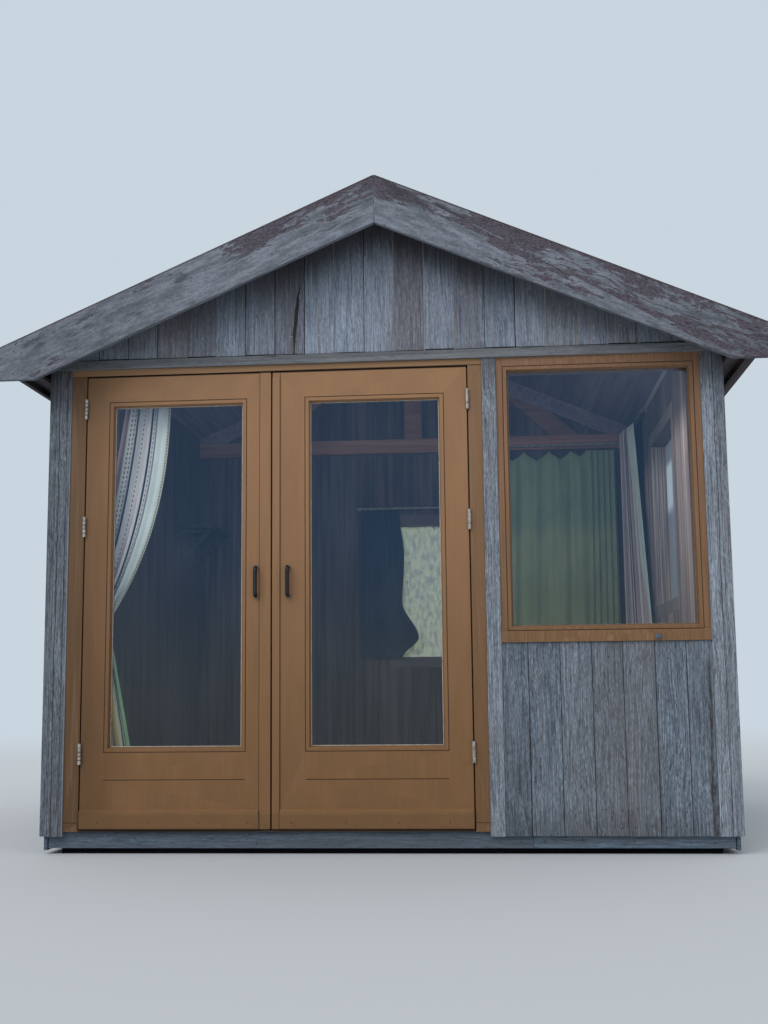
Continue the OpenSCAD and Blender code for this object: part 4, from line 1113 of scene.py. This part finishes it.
def make_plain_curtain():
    """Hung slack from a few hooks over most of its width, and gathered at its right end."""
    low, high = edges("plain_curtain")
    mid = (low[1] + high[1]) / 2
    reach = (high[1] - low[1]) / 2 - 2 * MM
    slack_share = 0.60
    slack_end = 1.089
    top_drop = 26 * MM
    hooks = (low[0], 0.554, 0.697, 0.851, 0.988, slack_end)
    hooks += tuple(slack_end + (high[0] - slack_end) * k / 5 for k in range(1, 6))

    def point(s, t):
        tight = blend_in(s, slack_share - 0.03, slack_share + 0.03)
        if s < slack_share:
            x = low[0] + (slack_end - low[0]) * s / slack_share
        else:
            x = slack_end + (high[0] - slack_end) * (s - slack_share) / (1 - slack_share)
        along, width = between_hooks(x, hooks)
        dip = (1 - abs(2 * along - 1)) ** 0.8
        z_top = high[2] - top_drop - (0.44 - 0.25 * tight) * width * dip
        z = z_top + (low[2] - z_top) * t
        fold = math.cos(2 * math.pi * along + 0.6 * math.sin(2.5 * t + 9 * x))
        second = math.sin(2 * math.pi * (2.3 * x / 0.15 + 0.3 * t))
        y = mid + reach * ((0.80 - 0.30 * tight) * fold + 0.16 * (1 - tight) * second)
        lean = 0.045 * t ** 1.5 * math.sin(math.pi * min(1.0, s / 0.9))
        return (min(max(x - lean, low[0]), high[0]), min(max(y, low[1] + 2 * MM), high[1] - 2 * MM), z)

    hang("plain_curtain", "green_cotton", green_paint, 320, 30, point)


def make_side_curtain():
    """Gathered on its rod and spread forwards as it falls, its front edge nearer the wall."""
    low, high = edges("striped_curtain")
    folds = 6
    rear_x, rear_y = low[0] + 10 * MM, high[1] - 4 * MM
    top_w, foot_w = 0.342, rear_y - low[1] - 4 * MM
    top_out, foot_out = 48 * MM, 66 * MM

    def point(s, t):
        z_top = high[2] - 6 * MM * dips(folds, s)
        x = rear_x + (top_out + (foot_out - top_out) * t) * s
        x += 7 * MM * (1 - 0.3 * math.exp(-(t / 0.02) ** 2)) * wave(folds, s, 0.62)
        return (x, rear_y - (top_w + (foot_w - top_w) * t) * s, z_top + (low[2] - z_top) * t)

    hang("striped_curtain", "faded_stripes", side_paint, 260, 24, point)


def make_door_curtain():
    """Swept to the left by its tie-back at waist height, and spread again below it."""
    low, high = edges("door_curtain")
    mid = (low[1] + high[1]) / 2
    cloth_w = 0.262
    tie_z = 1.01
    tie_w = 0.118
    foot_w = tie_w + 0.139
    folds = 5
    left = low[0] + 2 * MM
    top_left = 0.206
    top_w = high[0] - low[0] - 6 * MM

    def side_places(z):
        """The left edge and the width at one height."""
        if z >= tie_z:
            f = (z - tie_z) / (high[2] - tie_z)
            moved = top_left * f ** 0.8
            return left + moved, tie_w + (top_w - tie_w) * (1 - (1 - f) ** 2.8) - moved
        return left, tie_w + (foot_w - tie_w) * (tie_z - z) / (tie_z - low[2])

    def point(s, t):
        """The folds are as deep as the cloth's own width asks at each height."""
        z_top = high[2] - 7 * MM * dips(folds, s)
        z = z_top + (low[2] - z_top) * t
        x0, w = side_places(z)
        depth = math.sqrt(cloth_w ** 2 - w ** 2) / (math.pi * folds)
        return (x0 + (w - 2 * MM) * s, mid + depth * wave(folds, s, 0.15), z)

    hang("door_curtain", "striped_cotton", door_paint, 220, 60, point, 1.04)


def make_rear_curtain():
    """A dark curtain beside the rear window, with a soft waist at its tie-back."""
    low, high = edges("rear_curtain")
    mid = (low[1] + high[1]) / 2
    reach = (high[1] - low[1]) / 2 - 2 * MM
    folds = 4
    x0 = low[0] + 2 * MM
    edge_x = -0.095
    stops = [(high[2], edge_x), (1.518, edge_x + 0.030), (1.225, edge_x + 0.015)]
    stops += [(1.005, edge_x + 0.115), (low[2], edge_x + 0.015)]

    def right_edge(z):
        for (z_up, x_up), (z_down, x_down) in zip(stops, stops[1:]):
            if z >= z_down:
                return x_down + (x_up - x_down) * blend_in(z, z_down, z_up)
        return stops[-1][1]

    def point(s, t):
        z_top = high[2] - 7 * MM * dips(folds, s)
        z = z_top + (low[2] - z_top) * t
        return (x0 + (right_edge(z) - 2 * MM - x0) * s, mid + 0.4 * reach * wave(folds, s, 0.44), z)

    hang("rear_curtain", "dark_cotton", dark_paint, 160, 60, point)


make_plain_curtain()
make_side_curtain()
make_door_curtain()
make_rear_curtain()


# Small details

def studs(name, places, radius, height, material, place, body="root"):
    """Low round heads at (u, v, depth) places on a face."""
    sides = 8
    shape = Shape()
    for u, v, depth in places:
        first = len(shape.points)
        for r, d in ((radius, depth + 1 * MM), (radius, depth), (0.6 * radius, depth - height)):
            shape.points += [place(a, b, d) for a, b in circle(u, v, r, sides)]
        shape.faces.append([first + k for k in range(sides)])
        shape.faces.append([first + 2 * sides + k for k in reversed(range(sides))])
        for start in (first, first + sides):
            for k in range(sides):
                n = (k + 1) % sides
                shape.faces.append([start + k, start + sides + k, start + sides + n, start + n])
    shape.piece(name, material, body, slot="steel")


def picture_frame(shape, box, grow, width, y0, y1):
    """Four strips round a rectangle (x0, x1, z0, z1) that is first grown on every side."""
    x0, x1, z0, z1 = box[0] - grow, box[1] + grow, box[2] - grow, box[3] + grow
    shape.block((x0, y0, z1 - width), (x1, y1, z1))
    shape.block((x0, y0, z0), (x1, y1, z0 + width))
    shape.block((x0, y0, z0 + width), (x0 + width, y1, z1 - width))
    shape.block((x1 - width, y0, z0 + width), (x1, y1, z1 - width))


BEAD_IN = 13 * MM
FACE_TO_GLASS = 25 * MM
LINE_W = 3 * MM
SEAL_W = 2.6 * MM
SEAL_T = 1.2 * MM
GLASS_LAP = 8 * MM
GROOVE_Z = 0.315


def make_glazing_lines():
    """Painted shade as near-black strips in the grooves round the beads and across the bottom rails, and the
    sealant along each pane.
    """
    for name, body in (("left_door", "left_leaf"), ("right_door", "right_leaf"), ("front_window", "root")):
        low, high = edges(name + "_glass")
        box = (low[0], high[0], low[2], high[2])
        face = low[1] - FACE_TO_GLASS
        has_groove = body != "root"
        # Near-black strips of painted shade in the grooves.
        shade_strips = Shape()
        picture_frame(shade_strips, box, BEAD_IN + LINE_W, LINE_W, face + 1.6 * MM, face + 3 * MM)
        if has_groove:
            shade_strips.block((low[0] - BEAD_IN, face + 1.4 * MM, GROOVE_Z - LINE_W / 2),
                       (high[0] + BEAD_IN, face + 3 * MM, GROOVE_Z + LINE_W / 2))
        shade_strips.piece(name + "_groove_shade_strips", GROOVE_SHADE, body, slot="dark_wood")
        seal = Shape()
        picture_frame(seal, box, -GLASS_LAP, SEAL_W, low[1] - SEAL_T, low[1])
        seal.piece(name + "_sealant", SEALANT if has_groove else OLD_SEALANT, body, slot="glass")


def jitter(reach):
    """A random shift of up to reach millimetres."""
    return RNG.uniform(-reach, reach) * MM


PANEL_NAILS = ((0.817, (0,)), (0.18, (-35, 35)), (0.112, (-35, 35)))
GABLE_NAILS_UP = 0.085
RAIL_NAILS = [-1.30 + k * 0.51 for k in range(6)]
RAIL_NAILS_Z = 2.162
BASE_NAILS_Z = 0.052
BASE_NAILS = (-1.30, -0.92, -0.55, -0.12, 0.33, 0.58, 0.68, 1.05, 1.38)
BARGE_NAILS = (0.10, 0.45, 0.85, 1.25, 1.60)
BARGE_DROPS = (0.05, 0.15)
SCREW_SHARES = (0.10, 0.37, 0.63, 0.88)
SCREW_Z = 0.135


def make_nails():
    """Nail rows across the boarding, in the rails and at the bargeboards' fixings."""
    middles = [GABLE_PHASE + (k + 0.5) * GABLE_PITCH for k in range(-10, 11)]
    gable = [(x + jitter(12), GABLE_BOTTOM + GABLE_NAILS_UP + jitter(5), 0.8 * MM)
             for x in middles if abs(x) <= FRAME_X - 0.05]
    studs("gable_nails", gable, 2.8 * MM, 1.0 * MM, PALE_NAIL, on_front(FACE_Y))
    panel = [((a + b) / 2 + shift * MM + jitter(10), z + jitter(8), 0.6 * MM)
             for a, b in zip(PANEL_SEAMS, PANEL_SEAMS[1:]) for z, shifts in PANEL_NAILS for shift in shifts]
    studs("panel_nails", panel, 3.0 * MM, 0.8 * MM, NAIL, on_front(PANEL_LOW[1]))
    rail = [(x + jitter(50), RAIL_NAILS_Z + jitter(4), 0.0) for x in RAIL_NAILS]
    studs("head_rail_nails", rail, 2.6 * MM, 0.8 * MM, NAIL, on_front(edges("head_rail")[0][1]))
    foot = [(x, BASE_NAILS_Z + jitter(8), 0.0) for x in BASE_NAILS]
    studs("base_rail_nails", foot, 3.4 * MM, 0.9 * MM, NAIL, on_front(edges("base_rails")[0][1]))
    barge = [(side * x, BARGE_TOP - SLOPE * x - drop, 0.0)
             for side in (-1, 1) for x in BARGE_NAILS for drop in BARGE_DROPS]
    face = on_front(edges("front_right_bargeboard")[0][1])
    studs("bargeboard_nails", barge, 3.2 * MM, 0.6 * MM, NAIL, face)
    for node, body in (("left_door", "left_leaf"), ("right_door", "right_leaf")):
        low, high = edges(node)
        screws = [(low[0] + share * (high[0] - low[0]), SCREW_Z, 0.0) for share in SCREW_SHARES]
        studs(node + "_screws", screws, 3.0 * MM, 0.4 * MM, NAIL, on_front(low[1]), body)


HINGE_ZS = (0.427, 1.424, 1.959)
HINGE_L = 90 * MM
LEFT_PIN = (-1.329, -1.262)
RIGHT_PIN = (0.387, -1.262)


def make_hinge_gaps():
    """Dark rings where the knuckles of each hinge meet."""
    shape = Shape()

    def ring(pin, radius, z, height):
        outline = circle(*pin, radius, 20)
        shape.prism(outline, z - height / 2, z + height / 2, lambda u, v, d: (u, v, d))

    for z in HINGE_ZS:
        foot = z - HINGE_L / 2
        for k in range(1, 5):
            ring(LEFT_PIN, 7.75 * MM, foot + k * HINGE_L / 5, 3.4 * MM)
        ring(RIGHT_PIN, 8.1 * MM, foot + 25 * MM, 2.0 * MM)
    shape.piece("hinge_gaps", NAIL, slot="steel")


HANDLE_FOOT = 11 * MM
COLLAR_R = 10.4 * MM
COLLAR_BACK = (6.4 * MM, 3.6 * MM)


def make_handle_collars():
    """A bright worn collar at each foot of both handles."""
    for node, body in (("left_handle", "left_leaf"), ("right_handle", "right_leaf")):
        low, high = edges(node)
        shape = Shape()
        for z in (low[2] + HANDLE_FOOT, high[2] - HANDLE_FOOT):
            outline = circle((low[0] + high[0]) / 2, z, COLLAR_R, 24)
            shape.prism(outline, high[1] - COLLAR_BACK[0], high[1] - COLLAR_BACK[1], along_depth)
        shape.piece(node + "_collars", PALE_NAIL, body, slot="steel")


HOOK_AT = (1.178, 0.906)
HOOK_ROUTE = ((-1, 4), (-14, 2), (-20, -12), (-9, -22))


def make_sill_hook():
    """A small galvanised plate and hook at the window sill."""
    x, z = HOOK_AT
    face = edges("front_window_frame")[0][1]
    plate = Shape()
    plate.block((x - 15 * MM, face - 2.5 * MM, z - 10 * MM), (x + 15 * MM, face, z + 10 * MM))
    plate.piece("sill_hook_plate", HOOK_STEEL, bevel=0.8 * MM, slot="steel")
    curve = bpy.data.curves.new("sill_hook", "CURVE")
    curve.dimensions = "3D"
    curve.bevel_depth = 3.0 * MM
    curve.bevel_resolution = 3
    curve.use_fill_caps = True
    curve.materials.append(HOOK_STEEL)
    spline = curve.splines.new("BEZIER")
    spline.bezier_points.add(len(HOOK_ROUTE) - 1)
    for knot, (out, up) in zip(spline.bezier_points, HOOK_ROUTE):
        knot.co = (x, face + out * MM, z + up * MM)
        knot.handle_left_type = knot.handle_right_type = "AUTO"
    hook = show("sill_hook", curve)
    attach(hook, "root")


def make_lath():
    """A pale lath in the corner between the right wall and the roof."""
    gap = 24 * MM / math.cos(PITCH)
    x_in = INNER_X - 14 * MM
    corners = ((INNER_X, 12 * MM), (INNER_X, 0), (x_in, 0), (x_in, 8 * MM))
    section = [(x, under_roof(x) - gap - down) for x, down in corners]
    shape = Shape()
    shape.prism(section, BACK_Y, ROOM_Y - 50 * MM, along_depth)
    shape.piece("corner_lath", PALE_LATH, bevel=1.5 * MM, slot="bare_wood")


make_glazing_lines()
make_nails()
make_hinge_gaps()
make_handle_collars()
make_sill_hook()
make_lath()


# Stage and lights

PALE = srgb(201, 213, 223)
FLOOR_TONE = srgb(196, 200, 203)
FLOOR_REACH = 60.0
SKY_LIGHT = (0.70, 0.735, 0.78, 1.0)
FILL_AT = (0.1, BACK_Y + 0.10, 2.00)


def straight_rays(p):
    """1 for rays that show the background itself: seen directly, in a gloss or through glass."""
    path = p.add("LightPath").outputs
    camera, gloss, glass = (Wire(p, path[f"Is {ray} Ray"]) for ray in ("Camera", "Glossy", "Transmission"))
    return p.math("MAXIMUM", p.math("MAXIMUM", camera, gloss), glass)


def make_stage():
    """A wide pale floor that keeps the hut's shadow and fades into the background."""
    mesh = bpy.data.meshes.new("studio_floor")
    corners = rectangle(-FLOOR_REACH, FLOOR_REACH, -FLOOR_REACH, FLOOR_REACH)
    mesh.from_pydata([(x, y, 0) for x, y in corners], [], [(0, 1, 2, 3)])
    ground = show("studio_floor", mesh)
    p = Paint("studio_floor", rough=0.9, gloss=0.1)
    x, y, _ = p.parts(p.where)
    p.finish(FLOOR_TONE)
    glow = p.take("Emission", 0, {"Color": PALE, "Strength": 1.0})
    far = p.span(p.math("SQRT", x * x + y * y), 5.0, 16.0) * straight_rays(p)
    mesh.materials.append(p.finish_as(p.blend(far, Wire(p, p.shader.outputs[0]), glow)))


class WorldPaint(Paint):
    """The same short calls on the world's nodes."""

    def __init__(self, world):
        world.use_nodes = True
        self.tree = world.node_tree


def make_lamp(name, kind, energy, colour, aim, **settings):
    """A lamp that shines along aim."""
    data = bpy.data.lights.new(name, kind)
    data.energy = energy
    data.color = colour
    for key, value in settings.items():
        setattr(data, key, value)
    lamp = show(name, data)
    lamp.rotation_euler = Vector(aim).to_track_quat("-Z", "Y").to_euler()
    return lamp


def make_light():
    """A soft even sky, a broad warm key, and a weak lamp under the front header that makes the room read."""
    world = bpy.data.worlds.new("studio")
    bpy.context.scene.world = world
    p = WorldPaint(world)
    background = p.tree.nodes["Background"]
    p.put(background.inputs["Color"], p.mix(straight_rays(p), SKY_LIGHT, PALE))
    background.inputs["Strength"].default_value = 1.0
    bpy.context.scene.view_settings.view_transform = "Standard"
    make_lamp("soft_key", "SUN", 1.3, (1.0, 0.97, 0.93), (0.45, 0.75, -0.75), angle=math.radians(50))
    fill = make_lamp("room_fill", "AREA", 17.0, (0.93, 0.97, 1.0), (0, 0.93, -0.37),
                     shape="RECTANGLE", size=2.2, size_y=0.3)
    fill.location = FILL_AT
    fill.visible_camera = False
    fill.visible_glossy = False


make_stage()
make_light()
